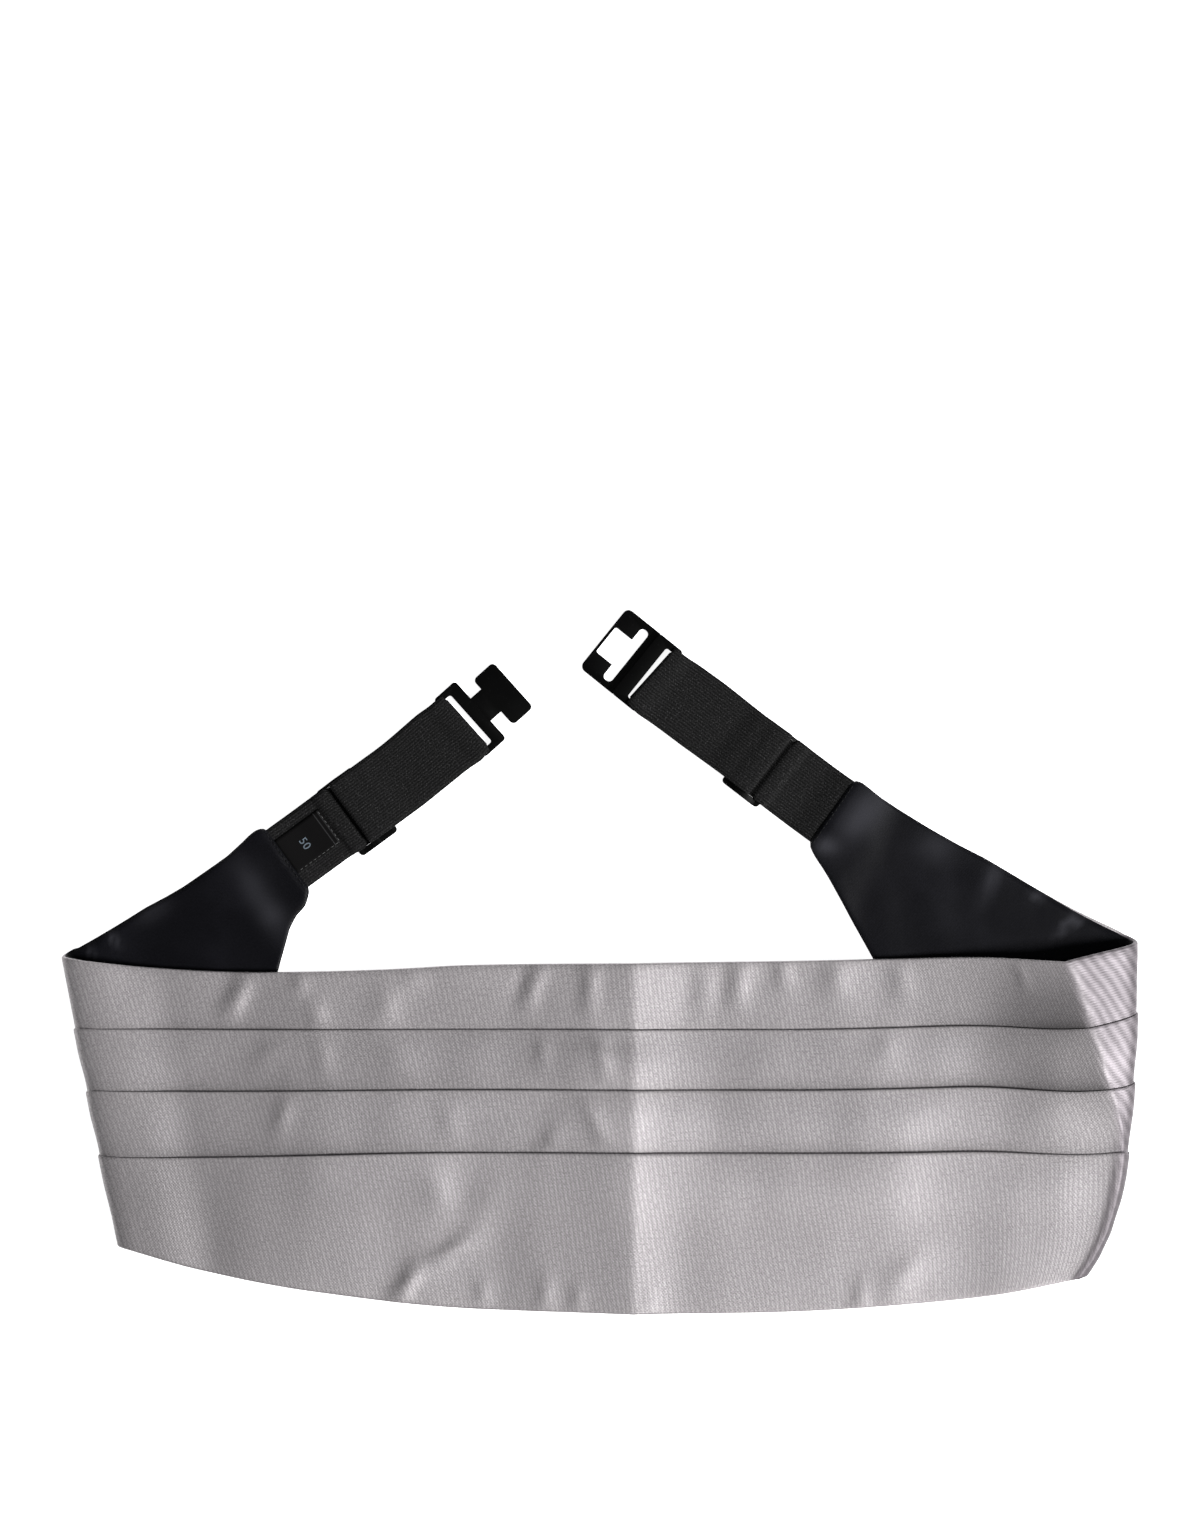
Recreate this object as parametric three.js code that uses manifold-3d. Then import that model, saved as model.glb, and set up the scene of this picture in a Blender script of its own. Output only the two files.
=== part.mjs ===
// A pleated evening cummerbund laid out flat: front up, both ends turned behind it,
// the elastic straps and the two halves of the clasp spread above its top edge.
// Millimetres, +Z up. The plan is drawn with the middle of the front's top edge at
// x = 0, y = 0 and is moved at the end, so that the origin is under the middle of it all.
import * as THREE from "three";
import { mergeVertices } from "three/addons/utils/BufferGeometryUtils.js";
import Module from "manifold-3d";

const wasm = await Module();
wasm.setup();

// Cloth
const SHELL_WALL = 1.0; // one layer of the silk shell
const LINING_WALL = 1.0;
const PLY_GAP = 0.3; // between shell and lining
const PLEAT_GAP = 0.3; // inside each pleat's pocket
const LAYER_GAP = 0.6; // between the front and the tail that lies under it
const LINING_INSET = 1; // the lining stops short of the shell's edge
const PLEAT_POCKET = 8; // how deep each pleat is open
const PLEAT_FLANK = 17; // where the raised fold has come down again

// Front, measured from its centre crease
const FRONT_DEPTH = 140.6; // top edge to bottom edge at the crease
const LEFT_TOP_REACH = 228.4; // to the left turn's outside, along the top edge
const LEFT_TOP_RISE = 2.8; // of the turn's outside above the top edge at the crease
const LEFT_BOTTOM_REACH = 206;
const LEFT_BOTTOM_DROP = 113.2;
const RIGHT_TOP_REACH = 201.6;
const RIGHT_TOP_RISE = 8.8;
const RIGHT_BOTTOM_REACH = 181.6;
const RIGHT_BOTTOM_DROP = 125;
const CREASE_LIFT = 1.6; // the pressed crease stands up by this
const CREASE_RUN = 34; // and fades out this far from it
const REST_RUN = 62; // how far the front takes to come down off a tail

// Turns at the two ends of the front
const LEFT_TURN_RADIUS = 4;
const RIGHT_TURN_RADIUS = 4.5;
const RIGHT_RIDGE_HEIGHT = 17; // the right turn isn't pressed, so its top edge stands up
const RIGHT_RIDGE_INSET = 28; // from that ridge to the turn's outside, seen from above
const RIGHT_BOW = 8; // the right turn's outside bulges past a straight line

// Tails, from the outside of the turn at the top edge to the middle of the tail's end
const LEFT_TAIL_LENGTH = 96.2;
const LEFT_TAIL_BEARING = 22.9; // degrees above the front's top edge
const RIGHT_TAIL_LENGTH = 130.7;
const RIGHT_TAIL_BEARING = 22.7;
const TAIL_MARGIN = 1.4; // the tail's end is wider than the strap by this each side
const SEAM_DEPTH = 12; // how far the strap is sewn into the tail
const SEAM_RUN = 14; // how far the cloth takes to open for the strap

// Straps
const ELASTIC_WIDTH = 29.2;
const ELASTIC_WALL = 1.2;
const CLEARANCE = 0.3; // between hardware and elastic
const STRAP_REACH = 91.2; // from the tail's end to the clasp's bar
const LEFT_STRAP_HEADING = 36.3; // degrees above the front's top edge
const LEFT_STRAP_SHIFT = 2; // the clasp lies this far above the line that the strap starts on
const LEFT_SHIFT_START = 56; // where the strap leaves that line
const RIGHT_STRAP_HEADING = 35.8;
const RIGHT_STRAP_SHIFT = 2.1;
const RIGHT_SHIFT_START = 0;

// Slide adjusters
const SLIDER_START = 26.5; // from the tail's end
const SLIDER_LENGTH = 18;
const SLIDER_BAR = 2.4; // width of each cross bar
const SLIDER_WALL = 1.2;
const SLIDER_RAIL = 1.3;
const SLIDER_WINDOW = 29.2; // between its side rails
const SLIDER_SHIFT = 0.9; // it lies towards the strap's lower edge, and tucks the upper one in

// Clasp
const PLATE_WALL = 1.0;
const PLATE_WIDTH = 30.8;
const PLATE_BAR = 3.0; // the bar that the elastic goes round
const SLOT_WIDTH = 3.4;
const SLOT_LENGTH = 25;
const SLOT_CORNER = 1.0;
const PLATE_STEP = 1.0; // the free end is stepped down by this
const PLATE_CORNER = 1.4;
const STEP_OVERLAP = 0.6; // the plate's stretches run into each other by this
const HOOK_BASE = 8.5; // bar to the end of the base
const HOOK_NECK_WIDTH = 12;
const HOOK_HEAD_START = 14.1;
const HOOK_HEAD_END = 24.9;
const HOOK_HEAD_WIDTH = 24.2;
const HOOK_CORNER = 1.8;
const EYE_BASE = 9.2;
const EYE_FRAME_START = 11.2;
const EYE_END = 25.7;
const EYE_CORNER = 2.4;
const EYE_CROSS_START = 12.2; // the long opening that the hook's head goes through
const EYE_CROSS_WIDTH = 4;
const EYE_CROSS_LENGTH = 25.5;
const EYE_CROSS_CORNER = 1.8;
const EYE_STEM_END = 24.5; // the short opening that holds the hook's neck
const EYE_STEM_WIDTH = 12.7;
const EYE_STEM_CORNER = 0.9;

// Size label on the left strap
const LABEL_START = 3.4; // from the tail's end
const LABEL_LENGTH = 19.4;
const LABEL_WIDTH = 16;
const LABEL_OFFSET = 1.2; // towards the strap's upper edge
const LABEL_WALL = 1.0;

// Edges of the front. way: share of the way from the crease to the turn's ridge;
// top: rise of the top edge and bottom: drop of the bottom edge, as shares of FRONT_DEPTH.
const LEFT_EDGES = [
  { way: 0, top: 0, bottom: 1 },
  { way: 0.3, top: -0.006, bottom: 0.987 },
  { way: 0.44, top: -0.017, bottom: 0.972 },
  { way: 0.57, top: -0.023, bottom: 0.949 },
  { way: 0.72, top: -0.021, bottom: 0.917 },
  { way: 0.88, top: -0.006, bottom: 0.87 },
  { way: 1, top: 0.009, bottom: 0.82 },
];
const RIGHT_EDGES = [
  { way: 0, top: 0, bottom: 1 },
  { way: 0.35, top: 0.006, bottom: 0.992 },
  { way: 0.6, top: 0.015, bottom: 0.972 },
  { way: 0.82, top: 0.021, bottom: 0.945 },
  { way: 1, top: 0.006, bottom: 0.905 },
];
// Pleat folds. front, left, right: drop below the level of the crease's top end, at the crease and
// at the two turns, as shares of FRONT_DEPTH; tail: share of the tail's width at its end.
const PLEATS = [
  { front: 0.19, left: 0.191, right: 0.175, tail: 0.25 },
  { front: 0.362, left: 0.371, right: 0.352, tail: 0.5 },
  { front: 0.541, left: 0.562, right: 0.54, tail: 0.75 },
];

// Heights of the surface between shell and lining
const LIP = 2 * SHELL_WALL + PLEAT_GAP; // the shell is this thick at a pleat's fold
const SEAM_GAP = ELASTIC_WALL + 2 * CLEARANCE; // between shell and lining round the strap
const TAIL_LEVEL = LIP + PLY_GAP / 2;
const FLOOR_LEVEL = LINING_WALL + PLY_GAP / 2;
const OVER_LEVEL = TAIL_LEVEL + PLY_GAP + 2 * LINING_WALL + LAYER_GAP;
const OUTER_SKIN = PLY_GAP / 2 + SHELL_WALL;

const ROWS = ["top", "middle", "bottom"]; // a section's three points, across the belt

const { clamp, lerp, smoothstep, degToRad } = THREE.MathUtils;
const point = (x, y, z = 0) => new THREE.Vector3(x, y, z);
const mirrored = (degrees) => 180 - degrees;

function direction(degrees) {
  return point(Math.cos(degToRad(degrees)), Math.sin(degToRad(degrees)));
}

function ease(share) {
  return smoothstep(share, 0, 1);
}

// A smooth curve through a table's rows, read at one place.
function tableValue(rows, key, way) {
  const last = rows.length - 1;
  let i = 0;
  while (i < last - 1 && way > rows[i + 1].way) i += 1;
  const slope = (k) => {
    const a = rows[Math.max(0, k - 1)];
    const b = rows[Math.min(last, k + 1)];
    return (b[key] - a[key]) / (b.way - a.way);
  };
  const span = rows[i + 1].way - rows[i].way;
  const t = (way - rows[i].way) / span;
  const [a, b] = [rows[i][key], rows[i + 1][key]];
  const [ta, tb] = [slope(i) * span, slope(i + 1) * span];
  const [t2, t3] = [t * t, t * t * t];
  return a * (2 * t3 - 3 * t2 + 1) + ta * (t3 - 2 * t2 + t) + b * (3 * t2 - 2 * t3) + tb * (t3 - t2);
}

// One end of the belt: everything that differs between left and right.
function makeSide({ name, hand, edges, topCorner, bottomCorner, radius, ridge, inset, bow, brow, puffRun,
  tailLength, bearing, topAngle, topFlare, bottomAngle, flare, heading, shift, shiftStart }) {
  const turned = (degrees) => (hand < 0 ? degrees : mirrored(degrees));
  const topOut = point(hand * topCorner.reach, topCorner.rise);
  const bottomOut = point(hand * bottomCorner.reach, -bottomCorner.drop);
  const chord = topOut.clone().sub(bottomOut).normalize();
  const outward = point(chord.y, -chord.x).multiplyScalar(hand);
  const strapHeading = turned(heading);
  const end = topOut.clone().addScaledVector(direction(turned(bearing)), tailLength);
  return {
    name, hand, edges, topOut, bottomOut, chord, outward, radius, ridge, inset, bow, brow, puffRun, end,
    strapHeading, shift: -hand * shift, shiftStart,
    topAngle: turned(topAngle), topFlare: turned(topFlare),
    bottomAngle: turned(bottomAngle), flare: turned(flare),
  };
}

const LEFT = makeSide({
  name: "left", hand: -1, edges: LEFT_EDGES,
  topCorner: { reach: LEFT_TOP_REACH, rise: LEFT_TOP_RISE },
  bottomCorner: { reach: LEFT_BOTTOM_REACH, drop: LEFT_BOTTOM_DROP },
  radius: { top: LEFT_TURN_RADIUS, middle: LEFT_TURN_RADIUS * 0.9, bottom: LEFT_TURN_RADIUS * 0.75 },
  ridge: { top: 0, middle: 0, bottom: 0 },
  inset: { top: 0, middle: 0, bottom: 0 },
  bow: 0, brow: 0, puffRun: 34,
  tailLength: LEFT_TAIL_LENGTH, bearing: LEFT_TAIL_BEARING,
  topAngle: 29, topFlare: 34, bottomAngle: 45, flare: 73,
  heading: LEFT_STRAP_HEADING, shift: LEFT_STRAP_SHIFT, shiftStart: LEFT_SHIFT_START,
});
const RIGHT = makeSide({
  name: "right", hand: 1, edges: RIGHT_EDGES,
  topCorner: { reach: RIGHT_TOP_REACH, rise: RIGHT_TOP_RISE },
  bottomCorner: { reach: RIGHT_BOTTOM_REACH, drop: RIGHT_BOTTOM_DROP },
  radius: { top: RIGHT_TURN_RADIUS, middle: RIGHT_TURN_RADIUS * 0.85, bottom: RIGHT_TURN_RADIUS * 0.7 },
  ridge: { top: RIGHT_RIDGE_HEIGHT, middle: RIGHT_RIDGE_HEIGHT * 0.66, bottom: RIGHT_RIDGE_HEIGHT * 0.54 },
  inset: { top: RIGHT_RIDGE_INSET, middle: RIGHT_RIDGE_INSET * 0.32, bottom: RIGHT_RIDGE_INSET * 0.2 },
  bow: RIGHT_BOW, brow: 0.35, puffRun: 52,
  tailLength: RIGHT_TAIL_LENGTH, bearing: RIGHT_TAIL_BEARING,
  topAngle: 26, topFlare: 32, bottomAngle: 40, flare: 57,
  heading: RIGHT_STRAP_HEADING, shift: RIGHT_STRAP_SHIFT, shiftStart: RIGHT_SHIFT_START,
});

// The outside of a turn at its top, middle or bottom, in plan, inside the shell's thickness.
function turnOutside(side, row) {
  const outer = {
    top: () => side.topOut.clone(),
    middle: () => side.topOut.clone().lerp(side.bottomOut, 0.5).addScaledVector(side.outward, side.bow),
    bottom: () => side.bottomOut.clone(),
  }[row]();
  return outer.addScaledVector(side.outward, -OUTER_SKIN);
}

// The path of a turn: from the ridge over the outside and down to the tail's level.
// climb says how fast that row moves towards the top edge on the way round.
function turnPath(side, row) {
  const radius = side.radius[row];
  const outside = turnOutside(side, row);
  const climb = { top: 0.28, middle: 0.42, bottom: 0.56 }[row];
  const inset = Math.max(side.inset[row], radius);
  const ridgeLevel = Math.max(side.ridge[row], TAIL_LEVEL + 2 * radius);
  const middleLevel = TAIL_LEVEL + radius;
  const fall = ridgeLevel - middleLevel;
  const round = 0.55;
  const place = (inward, along, z) => outside.clone()
    .addScaledVector(side.outward, -inward)
    .addScaledVector(side.chord, along)
    .setZ(z);
  const before = inset * climb;
  const after = radius * climb * 1.6;
  const face = new THREE.CubicBezierCurve3(
    place(inset, -before, ridgeLevel),
    place(inset * (1 - round), -before * (1 - round), ridgeLevel - side.brow * fall),
    place(0, -before * 0.15, middleLevel + round * fall * (1 - side.brow * 0.5)),
    place(0, 0, middleLevel),
  );
  const under = new THREE.CubicBezierCurve3(
    place(0, 0, middleLevel),
    place(0, after * 0.35, middleLevel - round * radius),
    place(radius * (1 - round), after * 0.7, TAIL_LEVEL),
    place(radius, after, TAIL_LEVEL),
  );
  return { face, under };
}

const FACE_STEPS = 6;
const UNDER_STEPS = 4;

// How far the top edge has risen where the front meets the turn.
function riseAtRidge(side) {
  return turnPath(side, "top").face.getPoint(0).y;
}

// Sections of a turn, without its ridge, from the front to the tail.
function turnSections(side) {
  const rise = riseAtRidge(side);
  const paths = Object.fromEntries(ROWS.map((row) => [row, turnPath(side, row)]));
  const sections = [];
  for (const [part, steps] of [["face", FACE_STEPS], ["under", UNDER_STEPS]]) {
    for (let i = 1; i <= steps; i += 1) {
      const [top, middle, bottom] = ROWS.map((row) => paths[row][part].getPoint(i / steps));
      sections.push({ side, rise, top, middle, bottom, tail: 0 });
    }
  }
  return sections;
}

// How far from the crease the tail's lower edge still lies under the front.
function coveredTo(side, tailBottom) {
  const under = tailBottom.getPoints(40).filter((p) => p.y < FRONT_DEPTH * 0.03);
  return Math.min(...under.map((p) => p.x * side.hand));
}

function tailCurves(side) {
  const paths = { top: turnPath(side, "top"), bottom: turnPath(side, "bottom") };
  const half = ELASTIC_WIDTH / 2 + TAIL_MARGIN;
  const across = direction(side.strapHeading + 90 * side.hand).multiplyScalar(-half);
  const edge = (row, startAngle, endAngle, corner, startPull, endPull) => {
    const start = paths[row].under.getPoint(1).setZ(0);
    const length = start.distanceTo(corner);
    return new THREE.CubicBezierCurve3(
      start,
      start.clone().addScaledVector(direction(startAngle), length * startPull),
      corner.clone().addScaledVector(direction(endAngle), -length * endPull),
      corner,
    );
  };
  return {
    top: edge("top", side.topAngle, side.topFlare, side.end.clone().add(across), 0.3, 0.3),
    bottom: edge("bottom", side.bottomAngle, side.flare, side.end.clone().sub(across), 0.35, 0.35),
  };
}

const TAIL_STEPS = 9;

// Sections of a tail, from its turn to its end. open: how far the plies are parted for the strap.
function tailSections(side) {
  const { top, bottom } = tailCurves(side);
  const rise = riseAtRidge(side);
  const length = side.end.distanceTo(side.topOut);
  const sections = [];
  for (let i = 1; i <= TAIL_STEPS; i += 1) {
    const t = i / TAIL_STEPS;
    const fromEnd = (1 - t) * length;
    const open = ease((SEAM_DEPTH + SEAM_RUN - fromEnd) / SEAM_RUN);
    const level = LIP + lerp(PLY_GAP, SEAM_GAP, open) / 2;
    const [a, b] = [top.getPoint(t).setZ(level), bottom.getPoint(t).setZ(level)];
    sections.push({ side, rise, top: a, middle: a.clone().lerp(b, 0.5), bottom: b, tail: t, open });
  }
  return sections;
}

const FRONT_STEPS = 13;

// Sections of one half of the front, from the crease to the turn's ridge.
function frontSections(side) {
  const start = Object.fromEntries(ROWS.map((row) => [row, turnPath(side, row).face.getPoint(0)]));
  const covered = coveredTo(side, tailCurves(side).bottom);
  const straightMiddle = start.top.clone().lerp(start.bottom, 0.5);
  const sections = [];
  for (let i = 0; i <= FRONT_STEPS; i += 1) {
    const way = i / FRONT_STEPS;
    const section = { side, tail: 0, front: 1 - way };
    for (const row of ["top", "bottom"]) {
      const up = row === "top" ? FRONT_DEPTH : -FRONT_DEPTH;
      const slipped = start[row].y - up * side.edges.at(-1)[row];
      section[row] = point(start[row].x * way, up * tableValue(side.edges, row, way) + slipped * way ** 6);
    }
    section.rise = section.top.y;
    section.middle = section.top.clone().lerp(section.bottom, 0.5);
    section.middle.add(start.middle.clone().sub(straightMiddle).setZ(0).multiplyScalar(way ** 4));
    for (const row of ROWS) {
      const p = section[row];
      const onTail = ease((Math.abs(p.x) - covered + REST_RUN + CLEARANCE) / REST_RUN);
      const toRidge = Math.max(0, 1 - Math.abs(start[row].x - p.x) / side.puffRun);
      const crease = CREASE_LIFT * Math.max(0, 1 - Math.abs(p.x) / CREASE_RUN) ** 1.5;
      p.z = lerp(FLOOR_LEVEL, OVER_LEVEL, onTail) + (start[row].z - OVER_LEVEL) * toRidge ** 2 + crease;
    }
    sections.push(section);
  }
  return sections;
}

// The whole belt, section by section, from the left tail's end to the right tail's end.
function beltSections() {
  const half = (side) => [...turnSections(side), ...tailSections(side)];
  const left = [...frontSections(LEFT), ...half(LEFT)].reverse();
  const right = [...frontSections(RIGHT).slice(1), ...half(RIGHT)];
  return [...left, ...right];
}

const SECTIONS = beltSections();

// A place on a section: v runs from 0 at the top edge to 1 at the bottom edge.
function onSection(section, v) {
  const { top, middle, bottom } = section;
  return point(0, 0)
    .addScaledVector(top, (1 - v) * (1 - 2 * v))
    .addScaledVector(middle, 4 * v * (1 - v))
    .addScaledVector(bottom, v * (2 * v - 1));
}

// The direction out of the shell's face at a section.
function outOf(index, v) {
  const before = SECTIONS[Math.max(0, index - 1)];
  const after = SECTIONS[Math.min(SECTIONS.length - 1, index + 1)];
  const along = onSection(after, v).sub(onSection(before, v));
  const low = Math.max(0, v - 0.05);
  const down = onSection(SECTIONS[index], Math.min(1, low + 0.1)).sub(onSection(SECTIONS[index], low));
  return down.cross(along).normalize();
}

function widthOf(section) {
  return section.top.distanceTo(section.middle) + section.middle.distanceTo(section.bottom);
}

// Where the pleats fold at a section, from the top edge: { fold, pocket, flank } for each.
function pleatsAt(section) {
  const width = widthOf(section);
  const onFront = ease((section.front ?? 0) * 1.5);
  const folds = PLEATS.map((pleat) => {
    const drop = lerp(pleat[section.side.name], pleat.front, onFront) * FRONT_DEPTH;
    return lerp(drop + section.rise, width * pleat.tail, ease(section.tail * 1.4));
  });
  return folds.map((fold, i) => {
    const band = (folds[i + 1] ?? width) - fold;
    const pocket = fold + Math.min(PLEAT_POCKET, band * 0.45);
    const flank = fold + Math.min(PLEAT_FLANK, band * 0.7);
    return { fold, pocket, flank };
  });
}

// Distances from the top edge at which a section has points.
function stopsAt(section) {
  const width = widthOf(section);
  const pleats = pleatsAt(section);
  const stops = [0, pleats[0].fold / 2];
  for (const { fold, pocket, flank } of pleats) stops.push(fold, pocket, flank);
  stops.push(lerp(pleats.at(-1).flank, width, 0.4), width);
  return stops;
}

// The shell's outline across a section as [distance from the top edge, height off the lining side].
// At each pleat the lower band folds over the upper one and leaves a pocket open upwards.
function shellProfile(section) {
  const stops = stopsAt(section);
  const width = stops.at(-1);
  const roof = SHELL_WALL + PLEAT_GAP;
  const outline = [[0, SHELL_WALL], [stops[1], SHELL_WALL]];
  for (const { fold, pocket, flank } of pleatsAt(section)) {
    outline.push(
      [fold, SHELL_WALL], [pocket, SHELL_WALL], [pocket, roof], [fold, roof],
      [fold - SHELL_WALL * 0.35, roof + SHELL_WALL / 2],
      [fold, LIP], [pocket, LIP], [flank, SHELL_WALL],
    );
  }
  outline.push([stops.at(-2), SHELL_WALL], [width, SHELL_WALL]);
  for (const stop of [...stops].reverse()) outline.push([stop, 0]);
  return outline;
}

function liningProfile(section) {
  const stops = stopsAt(section);
  stops[0] += LINING_INSET;
  stops[stops.length - 1] -= LINING_INSET;
  return [...stops.map((stop) => [stop, -LINING_WALL]), ...[...stops].reverse().map((stop) => [stop, 0])];
}

function geometryOf(positions, indices) {
  const geometry = new THREE.BufferGeometry();
  geometry.setAttribute("position", new THREE.Float32BufferAttribute(positions, 3));
  geometry.setIndex(indices);
  geometry.computeVertexNormals();
  return geometry;
}

const CAP_BOW = 0.05;

// A closed wall lofted through every section of the belt. profile gives its outline at a section,
// and face is the side of the ply gap that its heights start from.
function loftCloth(profile, face) {
  const positions = [];
  let count = 0;
  SECTIONS.forEach((section, index) => {
    const width = widthOf(section);
    const gap = lerp(PLY_GAP, SEAM_GAP, section.open ?? 0) / 2;
    const outline = profile(section);
    count = outline.length;
    for (const [stop, height] of outline) {
      const v = stop / width;
      const p = onSection(section, v).addScaledVector(outOf(index, v), face * gap + height);
      positions.push(p.x, p.y, p.z);
    }
  });
  const indices = [];
  for (let ring = 0; ring + 1 < SECTIONS.length; ring += 1) {
    for (let i = 0; i < count; i += 1) {
      const [a, b] = [ring * count + i, ring * count + ((i + 1) % count)];
      indices.push(a, b, a + count, b, b + count, a + count);
    }
  }
  // The outline is bowed for its triangles, because of three points in a line one would be left out.
  // The first cap goes round its outline backwards, so that it shares its edges with the wall.
  const cap = (ring, forwards) => {
    const outline = profile(SECTIONS[ring]);
    const floor = Math.min(...outline.map(([, height]) => height));
    const half = widthOf(SECTIONS[ring]) / 2;
    const bow = (stop, height) => (height === floor ? CAP_BOW : -CAP_BOW) * ((stop - half) / half) ** 2;
    const flat = outline.map(([stop, height]) => new THREE.Vector2(stop, height + bow(stop, height)));
    const clockwise = THREE.ShapeUtils.isClockWise(flat);
    for (const face of THREE.ShapeUtils.triangulateShape(flat, [])) {
      const follows = THREE.ShapeUtils.isClockWise(face.map((i) => flat[i])) === clockwise;
      if (follows !== forwards) face.reverse();
      indices.push(...face.map((i) => ring * count + i));
    }
  };
  cap(0, false);
  cap(SECTIONS.length - 1, true);
  return facingOut(geometryOf(positions, indices));
}

function signedVolume(geometry) {
  const { position } = geometry.attributes;
  const index = geometry.index.array;
  const [a, b, c] = [point(0, 0), point(0, 0), point(0, 0)];
  let volume = 0;
  for (let i = 0; i < index.length; i += 3) {
    a.fromBufferAttribute(position, index[i]);
    b.fromBufferAttribute(position, index[i + 1]);
    c.fromBufferAttribute(position, index[i + 2]);
    volume += a.dot(b.cross(c)) / 6;
  }
  return volume;
}

function facingOut(geometry) {
  if (signedVolume(geometry) > 0) return geometry;
  const index = geometry.index.array;
  for (let i = 0; i < index.length; i += 3) [index[i + 1], index[i + 2]] = [index[i + 2], index[i + 1]];
  geometry.computeVertexNormals();
  return geometry;
}

// Levels along a strap, at the middle of the elastic
const ON_FLOOR = ELASTIC_WALL / 2;
const IN_SEAM = LIP + SEAM_GAP / 2;
const OVER_BAR = SLIDER_WALL + CLEARANCE + ELASTIC_WALL / 2;
const SECOND_PLY = ELASTIC_WALL * 1.5 + CLEARANCE;
const CENTRE_BAR_FOOT = 2 * (ELASTIC_WALL + CLEARANCE);
const CENTRE_BAR_LOOP = SLIDER_WALL / 2 + CLEARANCE + ELASTIC_WALL / 2;
const CENTRE_BAR_LEVEL = CENTRE_BAR_FOOT + SLIDER_WALL / 2;
const PLATE_FOOT = ELASTIC_WALL + CLEARANCE;
const PLATE_LOOP = PLATE_WALL / 2 + CLEARANCE + ELASTIC_WALL / 2;
const SLIDER_END = SLIDER_START + SLIDER_LENGTH;
const SLIDER_MIDDLE = SLIDER_START + SLIDER_LENGTH / 2;

// A line in the plane of distance along the strap and height, grown piece by piece.
function makeRoute(x, z) {
  const route = [[x, z]];
  const stepLength = 5;
  return {
    route,
    run(to) {
      const [from, level] = route.at(-1);
      const steps = Math.max(1, Math.ceil(Math.abs(to - from) / stepLength));
      for (let i = 1; i <= steps; i += 1) route.push([lerp(from, to, i / steps), level]);
      return this;
    },
    slope(to, level, steps = 5) {
      const [from, start] = route.at(-1);
      for (let i = 1; i <= steps; i += 1) {
        route.push([lerp(from, to, i / steps), lerp(start, level, ease(i / steps))]);
      }
      return this;
    },
    // half a turn about a bar whose middle is radius above or below here
    loop(radius, towards, upward, steps = 8) {
      const [from, start] = route.at(-1);
      for (let i = 1; i <= steps; i += 1) {
        const angle = Math.PI * i / steps;
        const rise = radius * (1 - Math.cos(angle));
        route.push([from + towards * radius * Math.sin(angle), start + upward * rise]);
      }
      return this;
    },
  };
}

// The elastic leaves the tail, passes over the slider's first bar, under its middle bar and over
// its last one, goes round the clasp's bar and comes back on top to end round the middle bar.
function elasticRoute() {
  const rise = 3.4;
  const shoulder = 0.4;
  const firstBarEnd = SLIDER_START + SLIDER_BAR;
  const lastBarStart = SLIDER_END - SLIDER_BAR;
  const loopAt = SLIDER_MIDDLE - SLIDER_BAR / 2 + CLEARANCE;
  return makeRoute(-SEAM_DEPTH, IN_SEAM)
    .run(1)
    .slope(SEAM_RUN, ON_FLOOR, 6)
    .run(SLIDER_START - rise)
    .slope(SLIDER_START - shoulder, OVER_BAR)
    .run(firstBarEnd + shoulder)
    .slope(firstBarEnd + rise, ON_FLOOR)
    .run(lastBarStart - rise)
    .slope(lastBarStart - shoulder, OVER_BAR)
    .run(SLIDER_END + shoulder)
    .slope(SLIDER_END + rise, ON_FLOOR)
    .run(STRAP_REACH - CLEARANCE)
    .loop(PLATE_LOOP, 1, 1)
    .run(STRAP_REACH - PLATE_BAR - shoulder)
    .slope(STRAP_REACH - PLATE_BAR - 2 * rise, SECOND_PLY)
    .run(SLIDER_END + 3 * rise)
    .slope(SLIDER_END + shoulder, OVER_BAR + ELASTIC_WALL + CLEARANCE + PLEAT_GAP)
    .slope(SLIDER_MIDDLE + SLIDER_BAR, CENTRE_BAR_LEVEL + CENTRE_BAR_LOOP)
    .run(loopAt)
    .loop(CENTRE_BAR_LOOP, -1, -1)
    .run(loopAt + rise)
    .route;
}

// The label lies on the elastic and follows it for its own length.
function labelRoute() {
  const lift = ELASTIC_WALL / 2 + CLEARANCE + LABEL_WALL / 2;
  return makeRoute(-SEAM_DEPTH, IN_SEAM)
    .run(1)
    .slope(SEAM_RUN, ON_FLOOR, 6)
    .run(LABEL_START + LABEL_LENGTH)
    .route
    .filter(([x]) => x >= LABEL_START)
    .map(([x, z]) => [x, z + lift]);
}

// The outline of a strip of cloth that follows a route.
function stripShape(route, wall) {
  const offset = route.map(([x, z], i) => {
    const [px, pz] = route[Math.max(0, i - 1)];
    const [nx, nz] = route[Math.min(route.length - 1, i + 1)];
    const length = Math.hypot(nx - px, nz - pz);
    return [-(nz - pz) / length * wall / 2, (nx - px) / length * wall / 2, x, z];
  });
  const upper = offset.map(([dx, dz, x, z]) => new THREE.Vector2(x + dx, z + dz));
  const lower = offset.map(([dx, dz, x, z]) => new THREE.Vector2(x - dx, z - dz)).reverse();
  return new THREE.Shape([...upper, ...lower]);
}

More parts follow.
